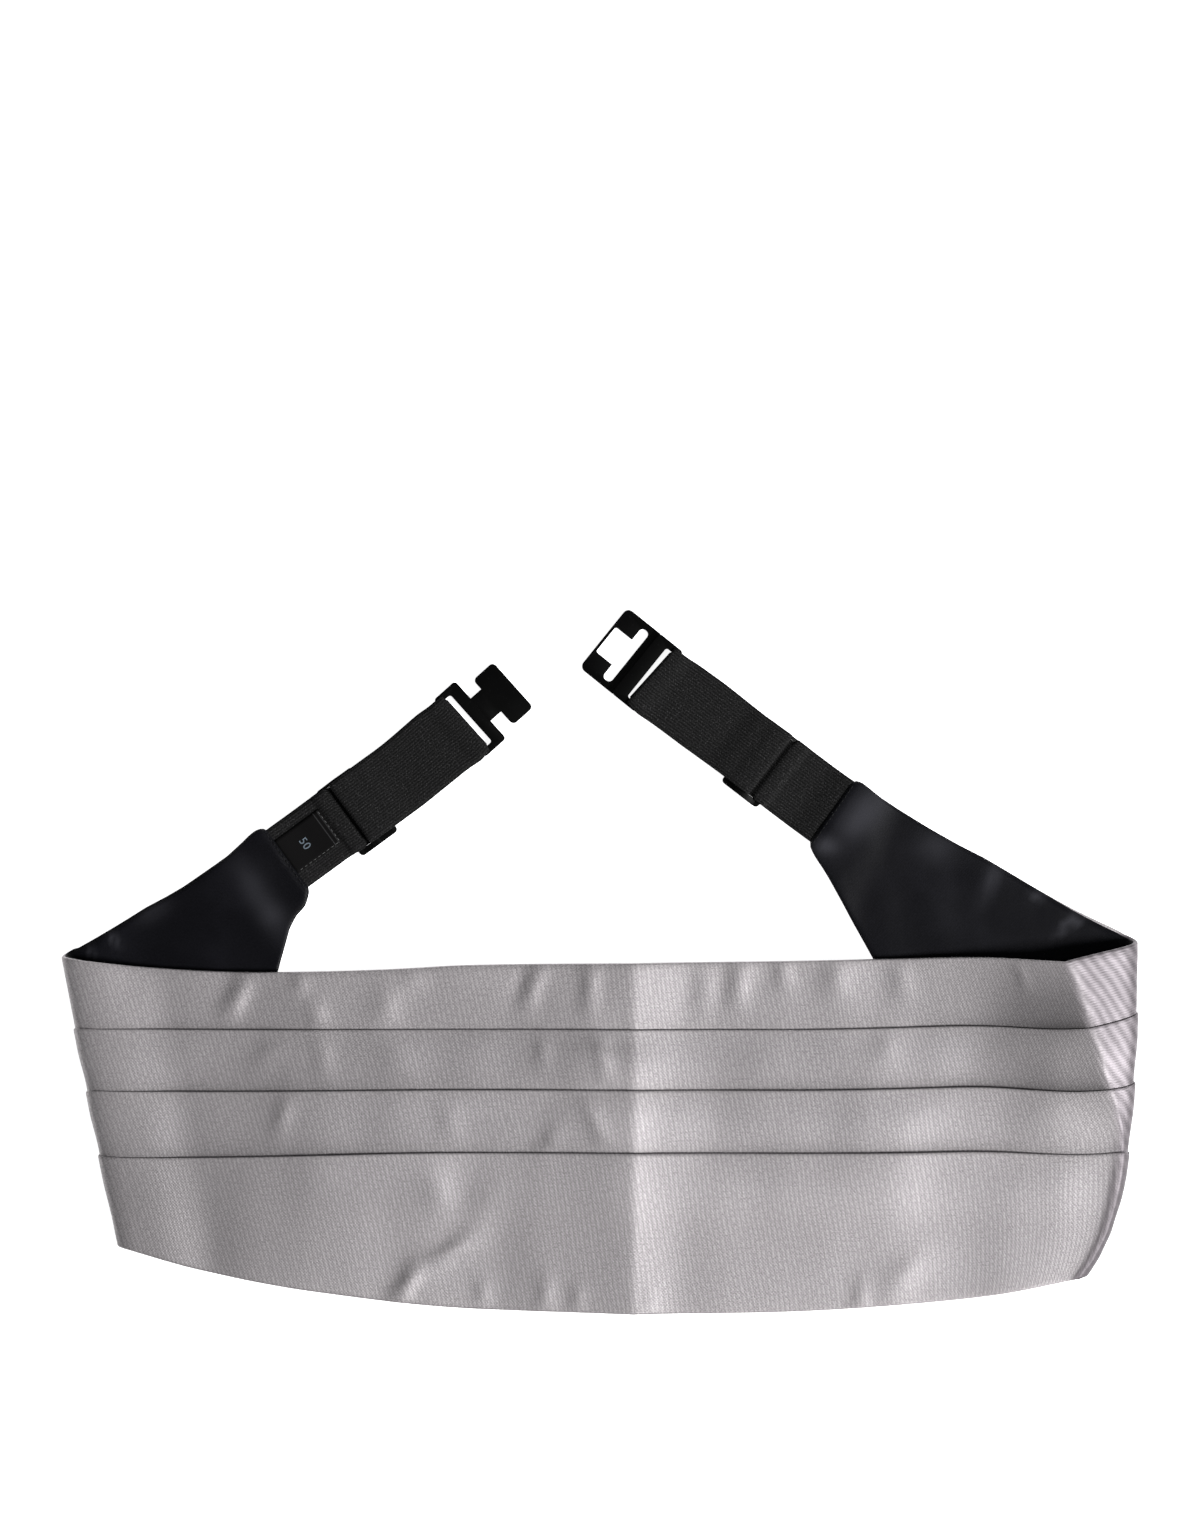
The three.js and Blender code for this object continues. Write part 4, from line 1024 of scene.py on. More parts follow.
def ribbon_spots(side, route, columns, half_width=None, offset=0.0):
    along = np.repeat(route[:, :1], columns, axis=1)
    share = np.repeat(np.linspace(-1, 1, columns)[None, :], len(route), axis=0)
    upper = share * -side["hand"] > 0
    up = np.repeat(route[:, 1:], columns, axis=1)
    if half_width is None:
        leftward = share * half_width_at(side, along, upper, up)
        lower_side = 0.5 * (1 - np.where(upper, 1, -1) * np.abs(share))
        near_plate = ease((along - 76) / 13)
        turn = math.radians(side["plate_turn"]) * near_plate
        beyond_slot = along - STRAP_REACH - SLOT_WIDTH / 2
        along = along + side["loop_skew"] * lower_side * near_plate - leftward * np.sin(turn)
        leftward = leftward + beyond_slot * np.sin(turn) * near_plate
    else:
        leftward = share * half_width - side["hand"] * offset
    return strap_place(side, along, leftward, up)


def make_elastic(name, side, node):
    route = elastic_route()
    spots = ribbon_spots(side, route, ACROSS_POINTS)
    length = np.concatenate([[0], np.cumsum(np.linalg.norm(np.diff(route, axis=0), axis=1))])
    across = np.linspace(-ELASTIC_WIDTH / 2, ELASTIC_WIDTH / 2, ACROSS_POINTS)
    cut = np.stack(np.meshgrid(length, across, indexing="ij"), axis=2)
    ribbon = lay_cloth(name, spots, cut, ELASTIC_WALL - 0.1)
    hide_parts(node)
    return ribbon, length[-1]


elastics = {}
for name, side in SIDES.items():
    elastics[name], strap_cut = make_elastic(f"ribbon_{name}", side, f"elastic_{name}")
print("each strap is cut", round(strap_cut), "mm long")

# %% [markdown]
# ## Sliders and clasp
# These are stamped from sheet metal and enamelled black. A stamped part starts as a flat blank, so
# each is built from blocks with rounded corners that are joined, cut through where it has openings,
# and softened along every edge, because enamel never leaves a sharp one.

# %% Blocks, cuts and soft edges
def select_only(obj):
    bpy.ops.object.select_all(action="DESELECT")
    bpy.context.view_layer.objects.active = obj
    obj.select_set(True)


def select_edges(obj, wanted):
    """Selects, in edit mode, the edges whose two ends pass the test."""
    bpy.ops.object.mode_set(mode="EDIT")
    bpy.ops.mesh.select_mode(type="EDGE")
    bpy.ops.mesh.select_all(action="DESELECT")
    bpy.ops.object.mode_set(mode="OBJECT")
    for edge in obj.data.edges:
        first, second = (obj.data.vertices[i].co for i in edge.vertices)
        edge.select = wanted(first, second)
    bpy.ops.object.mode_set(mode="EDIT")


def block(start, end, width, foot, top, corner, middle=0.0):
    """A blank in the strap's own directions, in mm: its upright edges are rounded."""
    bpy.ops.object.select_all(action="DESELECT")
    centre = ((start + end) / 2 * MM, middle * MM, (foot + top) / 2 * MM)
    bpy.ops.mesh.primitive_cube_add(size=1, location=centre)
    made = bpy.context.object
    made.scale = ((end - start) * MM, width * MM, (top - foot) * MM)
    bpy.ops.object.transform_apply(location=True, rotation=True, scale=True)
    if corner > 0:
        upright = (top - foot) * MM * 0.9
        select_edges(made, lambda a, b: abs(a.z - b.z) > upright)
        bpy.ops.mesh.bevel(offset=corner * MM, segments=6, affect="EDGES")
        bpy.ops.object.mode_set(mode="OBJECT")
    return made


def combine(target, tool, operation):
    select_only(target)
    change = target.modifiers.new("change", "BOOLEAN")
    change.operation = operation
    change.solver = "EXACT"
    change.object = tool
    bpy.ops.object.modifier_apply(modifier="change")
    bpy.data.objects.remove(tool)
    return target


def soften(obj, name, radius, segments=3):
    """Rounds every edge that is sharper than 30 degrees."""
    obj.name = name
    select_only(obj)
    bpy.ops.object.mode_set(mode="EDIT")
    bpy.ops.mesh.select_all(action="SELECT")
    bpy.ops.mesh.remove_doubles(threshold=0.004 * MM)
    bpy.ops.mesh.dissolve_limited(angle_limit=math.radians(0.5))
    bpy.ops.object.mode_set(mode="OBJECT")
    bevel = obj.modifiers.new("soft", "BEVEL")
    bevel.width = radius * MM
    bevel.segments = segments
    bevel.limit_method = "ANGLE"
    bevel.angle_limit = math.radians(30)
    bpy.ops.object.modifier_apply(modifier="soft")
    bpy.ops.object.shade_smooth_by_angle(angle=math.radians(35))
    return obj


def set_on_strap(obj, side, along, turn=0.0):
    """Turns a finished piece, made along the strap, and puts it at its place on the table."""
    pivot = Vector((SLOT_WIDTH / 2 * MM, 0, 0))
    spin = Matrix.Rotation(math.radians(turn), 4, "Z")
    obj.data.transform(Matrix.Translation(pivot) @ spin @ Matrix.Translation(-pivot))
    spot = strap_place(side, np.array(float(along)), np.array(0.0), 0.0)
    ahead = strap_place(side, np.array(along + 0.5), np.array(0.0), 0.0)
    heading = math.atan2(ahead[1] - spot[1], ahead[0] - spot[0])
    place = Vector(((spot[0] + CREASE_PLACE[0]) * MM, (spot[1] + CREASE_PLACE[1]) * MM, 0))
    obj.data.transform(Matrix.Translation(place) @ Matrix.Rotation(heading, 4, "Z"))
    obj.data.update()
    return obj


# %% [markdown]
# ### The sliders
# A slider is a flat frame with a bar across its middle. The middle bar is pressed up out of the
# frame, so that the strap's end can be looped round it and still slide.

# %% Sliders
SLIDER_CORNER = 1.6
WINDOW_CORNER = 0.8
HAIR = 0.02  # keeps the faces of joined blocks off one another


def make_slider(name, side, node):
    half = SLIDER_LENGTH / 2
    hand = side["hand"]
    outer = SLIDER_ABOVE + SLIDER_BELOW
    shift = hand * (SLIDER_BELOW - SLIDER_ABOVE) / 2
    window_shift = hand * (WINDOW_BELOW - WINDOW_ABOVE) / 2
    inside = half - SLIDER_BAR
    bar_top = CENTRE_BAR_FOOT + SLIDER_WALL
    made = block(-half, half, outer, 0, SLIDER_WALL, SLIDER_CORNER, shift)
    window = WINDOW_ABOVE + WINDOW_BELOW
    hollow = block(-inside, inside, window, -1, SLIDER_WALL + 1, WINDOW_CORNER, window_shift)
    combine(made, hollow, "DIFFERENCE")
    bar = block(-SLIDER_BAR / 2, SLIDER_BAR / 2, outer - HAIR, CENTRE_BAR_FOOT, bar_top, 0, shift)
    combine(made, bar, "UNION")
    for inner, edge in ((-WINDOW_ABOVE, -SLIDER_ABOVE), (WINDOW_BELOW, SLIDER_BELOW)):
        middle = hand * (inner + edge) / 2
        rail = block(-inside, inside, abs(edge - inner) - 2 * HAIR, HAIR, SLIDER_WALL - HAIR, 0, middle)
        bpy.ops.object.mode_set(mode="EDIT")
        for cut_at in (-SLIDER_BAR / 2, SLIDER_BAR / 2):
            bpy.ops.mesh.select_all(action="SELECT")
            bpy.ops.mesh.bisect(plane_co=(cut_at * MM, 0, 0), plane_no=(1, 0, 0))
        bpy.ops.object.mode_set(mode="OBJECT")
        for vertex in rail.data.vertices:
            if abs(vertex.co.x) < SLIDER_BAR * MM:
                vertex.co.z += CENTRE_BAR_FOOT * MM
        combine(made, rail, "UNION")
    soften(made, name, 0.22, 2)
    set_on_strap(made, side, SLIDER_MIDDLE)
    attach(made, "root")
    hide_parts(node)
    print(name, "faces", len(made.data.polygons))
    return made


sliders = [make_slider(f"adjuster_{name}", side, f"slider_{name}") for name, side in SIDES.items()]

# %% [markdown]
# ### The clasp
# The left half ends in a T that drops into the T-shaped opening of the right half and then locks
# behind its shoulders. Both free ends are pressed one sheet lower than the part with the slot, so
# that the two halves lie flush when they are closed.

# %% The hook and the eye
PLATE_STEP = 1.0
PLATE_CORNER = 1.4
SLOT_CORNER = 1.0
HOOK_BASE = 8.5
HOOK_NECK_START = HOOK_BASE + 2.0
HOOK_SLOPE_END = HOOK_BASE + 2.4
HOOK_NECK_WIDTH = 12
HOOK_HEAD_START = 14.1
HOOK_HEAD_END = 24.9
HOOK_HEAD_WIDTH = 24.2
HOOK_CORNER = 1.9
HEAD_ASIDE = -1.2  # the head isn't quite in the middle of its neck
EYE_BASE = 9.2
EYE_FRAME_START = 11.2
EYE_FRAME_FULL = EYE_FRAME_START + 3  # up to here its corners are square
EYE_END = 25.7
EYE_CORNER = 2.6
EYE_CROSS_START = 12.2
EYE_CROSS_WIDTH = 4
EYE_CROSS_LENGTH = 25.5
EYE_CROSS_CORNER = 1.8
EYE_STEM_END = 24.5
EYE_STEM_WIDTH = 12.7
EYE_STEM_CORNER = 0.9
HIGH = PLATE_FOOT
LOW = PLATE_FOOT - PLATE_STEP


def plate_base(end):
    base = block(-PLATE_BAR, end, PLATE_WIDTH, HIGH, HIGH + PLATE_WALL, PLATE_CORNER)
    slot = block(0, SLOT_WIDTH, SLOT_LENGTH, -1, HIGH + PLATE_WALL + 1, SLOT_CORNER)
    return combine(base, slot, "DIFFERENCE")


def plate_step(start, end, width):
    """A sloping stretch: a block whose far end is pushed down by one sheet."""
    step = block(start, end, width, HIGH, HIGH + PLATE_WALL, 0)
    for vertex in step.data.vertices:
        if vertex.co.x > (start + end) / 2 * MM:
            vertex.co.z -= PLATE_STEP * MM
    return step


def finish_plate(plate, name, side, node):
    soften(plate, name, 0.2)
    set_on_strap(plate, side, STRAP_REACH, side["plate_turn"])
    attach(plate, "root")
    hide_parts(node)
    print(name, "faces", len(plate.data.polygons))
    return plate


def low_block(start, end, width, corner=0, middle=0.0):
    return block(start, end, width, LOW, LOW + PLATE_WALL, corner, middle)


def opening(start, end, width, corner):
    return block(start, end, width, -1, 4, corner)


OVERLAP = 0.5
hook = plate_base(HOOK_BASE)
combine(hook, plate_step(HOOK_BASE - OVERLAP, HOOK_SLOPE_END, HOOK_NECK_WIDTH), "UNION")
combine(hook, low_block(HOOK_NECK_START, HOOK_HEAD_START + OVERLAP, HOOK_NECK_WIDTH), "UNION")
head = low_block(HOOK_HEAD_START, HOOK_HEAD_END, HOOK_HEAD_WIDTH, HOOK_CORNER, HEAD_ASIDE)
combine(hook, head, "UNION")
hook = finish_plate(hook, "clasp_hook", SIDES["left"], "hook_plate")

eye = plate_base(EYE_BASE)
combine(eye, plate_step(EYE_BASE - OVERLAP, EYE_FRAME_START + OVERLAP, PLATE_WIDTH), "UNION")
combine(eye, low_block(EYE_FRAME_START, EYE_END, PLATE_WIDTH, EYE_CORNER), "UNION")
combine(eye, low_block(EYE_FRAME_START, EYE_FRAME_FULL, PLATE_WIDTH), "UNION")
cross_end = EYE_CROSS_START + EYE_CROSS_WIDTH
combine(eye, opening(EYE_CROSS_START, cross_end, EYE_CROSS_LENGTH, EYE_CROSS_CORNER), "DIFFERENCE")
combine(eye, opening(cross_end - 1.5, EYE_STEM_END, EYE_STEM_WIDTH, EYE_STEM_CORNER), "DIFFERENCE")
eye = finish_plate(eye, "clasp_eye", SIDES["right"], "eye_plate")

# %% [markdown]
# ## The size label
# A small cloth label is stitched on the left strap, next to the tail. It carries a plain size
# number. It follows the strap's surface, so it is laid as a ribbon of its own along the same line.

# %% Label and number
LABEL_START = 2.1
LABEL_LENGTH = 21.6
LABEL_WIDTH = 16
LABEL_OFFSET = 1.1
LABEL_WALL = 0.34
LABEL_LIFT = ELASTIC_WALL / 2 + LABEL_WALL / 2 + 0.06
NUMBER = "50"
NUMBER_HEIGHT = 3.2
FIGURE_SHARE = 0.7  # a figure is this share of the size of its letters
NUMBER_AT = 0.42  # its share of the label's length
NUMBER_RELIEF = 0.05
LABEL_POINTS = 13


def label_line():
    route = elastic_route()[:60]
    along = np.linspace(LABEL_START, LABEL_START + LABEL_LENGTH, 25)
    level = np.interp(along, route[:, 0], route[:, 1]) + LABEL_LIFT
    return np.stack([along, level], axis=1)


left = SIDES["left"]
line = label_line()
spots = ribbon_spots(left, line, LABEL_POINTS, LABEL_WIDTH / 2, LABEL_OFFSET)
label_across = np.linspace(-LABEL_WIDTH / 2, LABEL_WIDTH / 2, LABEL_POINTS)
label_cut = np.stack(np.meshgrid(line[:, 0] - LABEL_START, label_across, indexing="ij"), axis=2)
label = lay_cloth("label_cloth", spots, label_cut, LABEL_WALL)
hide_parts("size_label")

bpy.ops.object.select_all(action="DESELECT")
bpy.ops.object.text_add(location=(0, 0, 0))
number = bpy.context.object
number.name = "label_number"
number.data.body = NUMBER
number.data.align_x = "CENTER"
number.data.align_y = "CENTER"
number.data.size = NUMBER_HEIGHT / FIGURE_SHARE * MM
number.data.extrude = NUMBER_RELIEF * MM
number.data.space_character = 1.1
bpy.ops.object.convert(target="MESH")
number = bpy.context.object
number_along = LABEL_START + LABEL_LENGTH * NUMBER_AT
for vertex in number.data.vertices:
    across_strap, along_strap = vertex.co.x / MM, vertex.co.y / MM
    spot_along = number_along + along_strap
    level = float(np.interp(spot_along, line[:, 0], line[:, 1])) + LABEL_WALL / 2 + 0.03
    leftward = LABEL_OFFSET - across_strap
    x, y, z = strap_place(left, np.array(spot_along), np.array(leftward), level + vertex.co.z / MM)
    vertex.co = ((x + CREASE_PLACE[0]) * MM, (y + CREASE_PLACE[1]) * MM, z * MM)
number.data.update()
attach(number, "root")
print("label", [round(v, 1) for v in spots.reshape(-1, 3).mean(0)])

# %% [markdown]
# ## Stitches
# A row of thread holds the lining to each strap, and two more run along the label's lower edge and
# across its end. One stitch is modelled as a short rounded bar and copied along a line, each copy a
# little turned and sunk, and all of one row become one mesh.

# %% One stitch, copied along a line
STITCH_LENGTH = 1.5
STITCH_STEP = 2.2
STITCH_RADIUS = 0.13


def stitch_row(name, line, seed):
    """line: places in mm on the table that the row follows."""
    steps = np.linalg.norm(np.diff(line, axis=0), axis=1)
    length = np.concatenate([[0], np.cumsum(steps)])
    chance = np.random.default_rng(seed)
    bpy.ops.object.select_all(action="DESELECT")
    bpy.ops.mesh.primitive_cylinder_add(vertices=6, radius=STITCH_RADIUS * MM, depth=STITCH_LENGTH * MM,
                                        rotation=(0, math.pi / 2, 0))
    bpy.ops.object.transform_apply(location=True, rotation=True, scale=True)
    first = bpy.context.object
    bpy.ops.object.mode_set(mode="EDIT")
    bpy.ops.mesh.select_all(action="SELECT")
    bpy.ops.mesh.bisect(plane_co=(0, 0, 0), plane_no=(1, 0, 0))
    bpy.ops.object.mode_set(mode="OBJECT")
    for vertex in first.data.vertices:
        ends = abs(vertex.co.x) / (STITCH_LENGTH / 2 * MM)
        vertex.co.z = vertex.co.z * (1 - 0.5 * ends) - 0.12 * MM * ends**2
        vertex.co.y *= 1 - 0.5 * ends
    copies = []
    for stop in np.arange(STITCH_STEP / 2, length[-1], STITCH_STEP):
        spot = [np.interp(stop, length, line[:, axis]) for axis in range(3)]
        ahead = [np.interp(stop + 0.5, length, line[:, axis]) for axis in range(3)]
        turn = math.atan2(ahead[1] - spot[1], ahead[0] - spot[0]) + chance.uniform(-0.12, 0.12)
        place = Vector(((spot[0] + CREASE_PLACE[0]) * MM, (spot[1] + CREASE_PLACE[1]) * MM, spot[2] * MM))
        copy = first.copy()
        copy.data = first.data.copy()
        copy.data.transform(Matrix.Translation(place) @ Matrix.Rotation(turn, 4, "Z"))
        bpy.context.collection.objects.link(copy)
        copies.append(copy)
    bpy.data.objects.remove(first)
    bpy.ops.object.select_all(action="DESELECT")
    for copy in copies:
        copy.select_set(True)
    bpy.context.view_layer.objects.active = copies[0]
    bpy.ops.object.join()
    row = bpy.context.object
    row.name = name
    bpy.ops.object.shade_smooth()
    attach(row, "root")
    print(name, "stitches", len(copies))
    return row


def tail_stitch_line(index):
    """A line across the lining at one section near a tail's end."""
    share = np.linspace(0.06, 0.94, 30)
    gap = mix(PLY_GAP, SEAM_GAP, BAND["open"][index]) / 2
    stops = share[None, :] * BAND["width"][:, None]
    base = on_band(stops)[index]
    out = out_of_band(stops)[index]
    return base + out * -(gap + SHELL_WALL - 0.12)


stitches = [
    stitch_row("stitches_left", tail_stitch_line(1), 3),
    stitch_row("stitches_right", tail_stitch_line(len(SECTIONS) - 2), 4),
]


def label_edge(along, across_from, across_to, count=12):
    """A line on the label, from its lower edge (-1) to its upper edge (1)."""
    share = np.linspace(across_from, across_to, count)
    spot_along = np.linspace(*along, count)
    level = np.interp(spot_along, line[:, 0], line[:, 1]) + LABEL_WALL / 2 + 0.12
    leftward = share * LABEL_WIDTH / 2 * 0.94 + LABEL_OFFSET
    return strap_place(left, spot_along, leftward, level)


label_end = LABEL_START + LABEL_LENGTH
side_line = label_edge((LABEL_START + 1, label_end - 0.6), -1, -1)
stitches.append(stitch_row("stitches_label_side", side_line, 5))
end_line = label_edge((label_end - 0.7, label_end - 0.7), -1, 1)
stitches.append(stitch_row("stitches_label_end", end_line, 6))

# %% [markdown]
# ## The silk
# The shell is a ribbed silk satin. Fine cords of thread cross the sash from top to bottom, leaning
# a little, and each catches the light on one side. The weave between them is finer than the eye
# resolves, so it only sparkles. Where the cloth goes round the loose right turn, the threads that
# run the other way show, and its colour is a darker copy of the silk's: painted shade, darkest
# towards the turn's lower end. Elsewhere the shade mark paints shade into the colour.

# %% Silk finish
def silk_finish():
    silk = Finish("ribbed silk", metallic=0.45, specular_ior_level=0.5, sheen_weight=0.04,
                  sheen_roughness=0.4, anisotropic=0.3)
    u, v = silk.cut()
    place = silk.place()
    drift = silk.noise(place, 26, 2.0) - 0.5
    slow = silk.noise(place, 11, 3.0)
    ribs = (((u - v * 0.155) / 1.9) + drift * 1.8).wave()
    broken = silk.noise(silk.point(u / 2.6, v / 1.1), 1.0, 2.0, 0.6)
    grain = silk.noise(silk.point(u / 0.5, v / 0.34), 1.0, 1.0, 0.6)
    fine = ((u * 0.97 + v * 1.13) / 1.3).wave() * ((u * 1.05 - v * 0.93) / 1.3).wave()
    cross = (v / 1.04 + drift * 0.4).wave()
    x, y = silk.across()
    bands = ((x * 0.8 + y * 0.6) / 4.0 + drift * 1.5).wave()
    # painted shade: low at the turn's lower end, which is painted darker
    upper = y.step(-95, -48)
    roll = silk.node("ShaderNodeAttribute", {"attribute_name": "roll"}, {}, "Fac")
    shade = silk.node("ShaderNodeAttribute", {"attribute_name": "shade"}, {}, "Fac")
    cords = ribs * broken.step(0.30, 0.62)
    flat_tone = cords * 0.40 + fine * 0.36 + (grain - 0.5) * 2.0 + (slow - 0.5) * 0.14 - 0.19
    roll_tone = (cross * 0.28 + bands * 0.48 + (grain - 0.5) * 0.5) * (upper * 0.8 + 0.2) - 0.32
    tone = flat_tone * (1 - roll) + roll_tone * roll + 0.5
    colour = silk.blend(tone, (0.190, 0.177, 0.182, 1), (0.480, 0.452, 0.462, 1))
    # painted shade: where the shade mark is high, the colour goes towards near black
    colour = silk.blend(shade, colour, (0.02, 0.018, 0.0185, 1))
    # painted shade: a darker copy of the silk's colours for the loose right turn
    turned = silk.blend(tone, (0.040, 0.033, 0.038, 1), (0.185, 0.166, 0.180, 1))
    silk.feed("Base Color", silk.blend(roll * 0.97, colour, turned))
    silk.feed("Roughness", 0.45 + silk.noise(place, 60, 2.0) * 0.14)
    silk.feed("Normal", silk.relief(cords * 0.45 + fine * 0.4 + grain * 0.6, 0.055 * MM))
    return silk.material


# %% [markdown]
# ## The satin lining
# The lining is a smooth, nearly black satin with a cold sheen. It is darkest where it is flat, and its
# colour is painted lighter in soft patches where it turns: painted sheen. A few white specks of dust always
# sit on it.

# %% Satin finish
def satin_finish():
    satin = Finish("black satin", roughness=0.4, specular_ior_level=0.09, sheen_weight=0.01,
                   sheen_roughness=0.4, anisotropic=0.4)
    u, v = satin.cut()
    place = satin.place()
    threads = (v / 0.55 + satin.noise(place, 40) * 0.5).wave()
    soft = satin.noise(place, 24, 3.0).step(0.42, 0.72)
    grain = satin.noise(satin.point(u / 0.6, v / 0.45), 1.0, 1.0, 0.6)
    tone = threads * 0.35 + soft * 0.5 + (grain - 0.5) * 2.2
    colour = satin.blend(tone, (0.0020, 0.0020, 0.0028, 1), (0.0078, 0.0078, 0.0105, 1))
    spread = {"Vector": place, "Scale": 95.0}
    speck_map = satin.node("ShaderNodeTexVoronoi", {"feature": "F1"}, spread, "Distance")
    chosen = satin.noise(place, 37, 0.0).step(0.66, 0.70)
    specks = (1 - speck_map.step(0.035, 0.06)) * chosen
    # painted sheen: the shade mark lightens the lining's colour in patches
    painted_sheen = satin.node("ShaderNodeAttribute", {"attribute_name": "shade"}, {}, "Fac")
    colour = satin.blend(painted_sheen * (soft * 0.3 + 0.5 + grain * 0.4), colour, (0.048, 0.048, 0.056, 1))
    satin.feed("Base Color", satin.blend(specks * 0.85, colour, (0.42, 0.42, 0.43, 1)))
    satin.feed("Roughness", 0.34 + satin.noise(place, 48, 2.0) * 0.16)
    satin.feed("Normal", satin.relief(threads * 0.4 + satin.noise(place, 70, 2.0) * 2.0, 0.10 * MM))
    return satin.material


# %% [markdown]
# ## Elastic, enamel, label and thread
# The elastic is a dense weave with cords along it and a rough, speckled face. The enamel is thin
# and smooth, with a slight ripple. The label is flat woven tape with a lighter double line near its
# end. The thread is plain: nearly black on the tails and grey round the label.

# %% Elastic, enamel, label and thread finishes
def elastic_finish():
    elastic = Finish("woven elastic", roughness=0.85, specular_ior_level=0.08, sheen_weight=0.01,
                     sheen_roughness=0.6)
    u, v = elastic.cut()
    place = elastic.place()
    cords = (v / 1.15).wave()
    picks = (u / 0.95 + (v / 2.3).wave() * 1.0).wave()
    speckle = elastic.noise(elastic.point(u / 0.9, v / 0.6), 1.0, 2.0, 0.7)
    spark = speckle.step(0.48, 0.74) * picks
    level = cords * 0.2 + spark * 1.1
    elastic.feed("Base Color", elastic.blend(level, (0.0030, 0.0030, 0.0030, 1), (0.044, 0.043, 0.044, 1)))
    elastic.feed("Normal", elastic.relief(cords * 0.6 + picks * 0.5, 0.10 * MM))
    elastic.feed("Roughness", 0.75 + elastic.noise(place, 90) * 0.2)
    return elastic.material


def enamel_finish():
    enamel = Finish("black enamel", specular_ior_level=0.05, metallic=0.0)
    place = enamel.place()
    ripple = enamel.noise(place, 120, 2.0)
    dust = enamel.noise(place, 900, 1.0).step(0.64, 0.78)
    enamel.feed("Base Color", enamel.blend(dust * 0.5, (0.0016, 0.0016, 0.0016, 1), (0.006, 0.006, 0.006, 1)))
    enamel.feed("Roughness", 0.4 + ripple * 0.16)
    enamel.feed("Normal", enamel.relief(ripple, 0.05 * MM))
    return enamel.material


def label_finish():
    tape = Finish("woven label", roughness=0.8, specular_ior_level=0.06)
    u, v = tape.cut()
    weave = (u / 0.5).wave() * (v / 0.5).wave()
    border = 1 - ((u - (LABEL_LENGTH - 2.0)).math("ABSOLUTE") - 0.9).math("ABSOLUTE").step(0.08, 0.24)
    colour = tape.blend(weave * 0.6, (0.0032, 0.003, 0.0031, 1), (0.008, 0.0075, 0.0078, 1))
    tape.feed("Base Color", tape.blend(border * 0.6, colour, (0.05, 0.05, 0.052, 1)))
    tape.feed("Normal", tape.relief(weave, 0.05 * MM))
    return tape.material


def plain_finish(name, low, high, scale, roughness, warm=0.0):
    plain = Finish(name, roughness=roughness, specular_ior_level=0.2)
    spots_map = plain.noise(plain.place(), scale, 2.0)
    plain.feed("Base Color", plain.blend(spots_map, grey(low, warm), grey(high, warm)))
    plain.feed("Normal", plain.relief(spots_map, 0.03 * MM))
    return plain.material


def table_finish():
    paper = Finish("white paper", roughness=1.0, specular_ior_level=0.0, emission_strength=0.9,
                   emission_color=(1.0, 1.0, 1.0, 1.0))
    fibre = paper.noise(paper.place(), 300, 2.0)
    paper.feed("Base Color", paper.blend(fibre, grey(0.93), grey(0.96)))
    return paper.material


def dress(obj, material):
    obj.data.materials.clear()
    obj.data.materials.append(material)


# %% [markdown]
# ## Marks for the finishes
# A finish can't know which part of the cloth goes round the loose turn or lies in a fold's shade.
# So each point of the cloth carries two marks that its finish reads: how far it belongs to that
# turn, and how much painted shade darkens its colour, or on the satin how much painted sheen lightens it.

# %% Marks on the cloth
LAMP_WAY = (0.93, -0.37)  # the way to the key lamp, seen from above
FOLD_SHADE = 0.72
ROLL_LOW_FROM = -48  # from here down, the turn's mark widens towards the front
ROLL_LOW_RUN = 47


def places_on(cloth):
    """Where the cloth's points lie, in mm from the crease's top end."""
    spots = np.zeros(len(cloth.data.vertices) * 3)
    cloth.data.vertices.foreach_get("co", spots)
    return spots.reshape(-1, 3) / MM - (*CREASE_PLACE, 0)


def mark_roll(cloth):
    """1 where the shell goes round the loose right turn, 0 elsewhere."""
    length = BAND["along"]
    inside = np.where(BAND["roll"] > 0.5)[0]
    start, end = length[inside[0]], length[inside[-1]]
    uv = cloth.data.uv_layers["cut"]
    flat = np.zeros(len(uv.data) * 2)
    uv.data.foreach_get("uv", flat)
    corner = np.zeros(len(cloth.data.loops), int)
    cloth.data.loops.foreach_get("vertex_index", corner)
    along = np.zeros(len(cloth.data.vertices))
    along[corner] = flat.reshape(-1, 2)[:, 0] / MM
    low_down = ease((ROLL_LOW_FROM - places_on(cloth)[:, 1]) / ROLL_LOW_RUN)
    share = ease((along - start + 2 + 4.5 * low_down) / (3.0 + 2 * low_down)) * (1 - ease((along - end) / 10))
    mark = cloth.data.attributes.new("roll", "FLOAT", "POINT")
    mark.data.foreach_set("value", share)


def fold_shades(x, y):
    """Darker on the side of each soft fold that turns away from the lamp."""
    ahead = 0.5
    slope = (soft_folds(x + ahead * LAMP_WAY[0], y + ahead * LAMP_WAY[1]) - soft_folds(x, y)) / ahead
    return np.clip(slope, 0, 0.5) * FOLD_SHADE


def pleat_shades(x, y):
    """Painted shadow just above each pleat's fold, where the fold stands over the cloth."""
    shade = np.zeros_like(x)
    flat = (BAND["front"] > 0) | (BAND["round"] < 0.02)
    for pleat, line in zip(PLEATS, pleat_lines()):
        spots = on_band(line["fold"][:, None])[flat, 0]
        order = np.argsort(spots[:, 0])
        above = y - np.interp(x, spots[order, 0], spots[order, 1])
        strength = np.interp(x, OPEN_AT, pleat["dark"])
        shade += strength * np.exp(-np.clip(above, 0, 40) / 3.2) * (above > -0.2)
    return shade


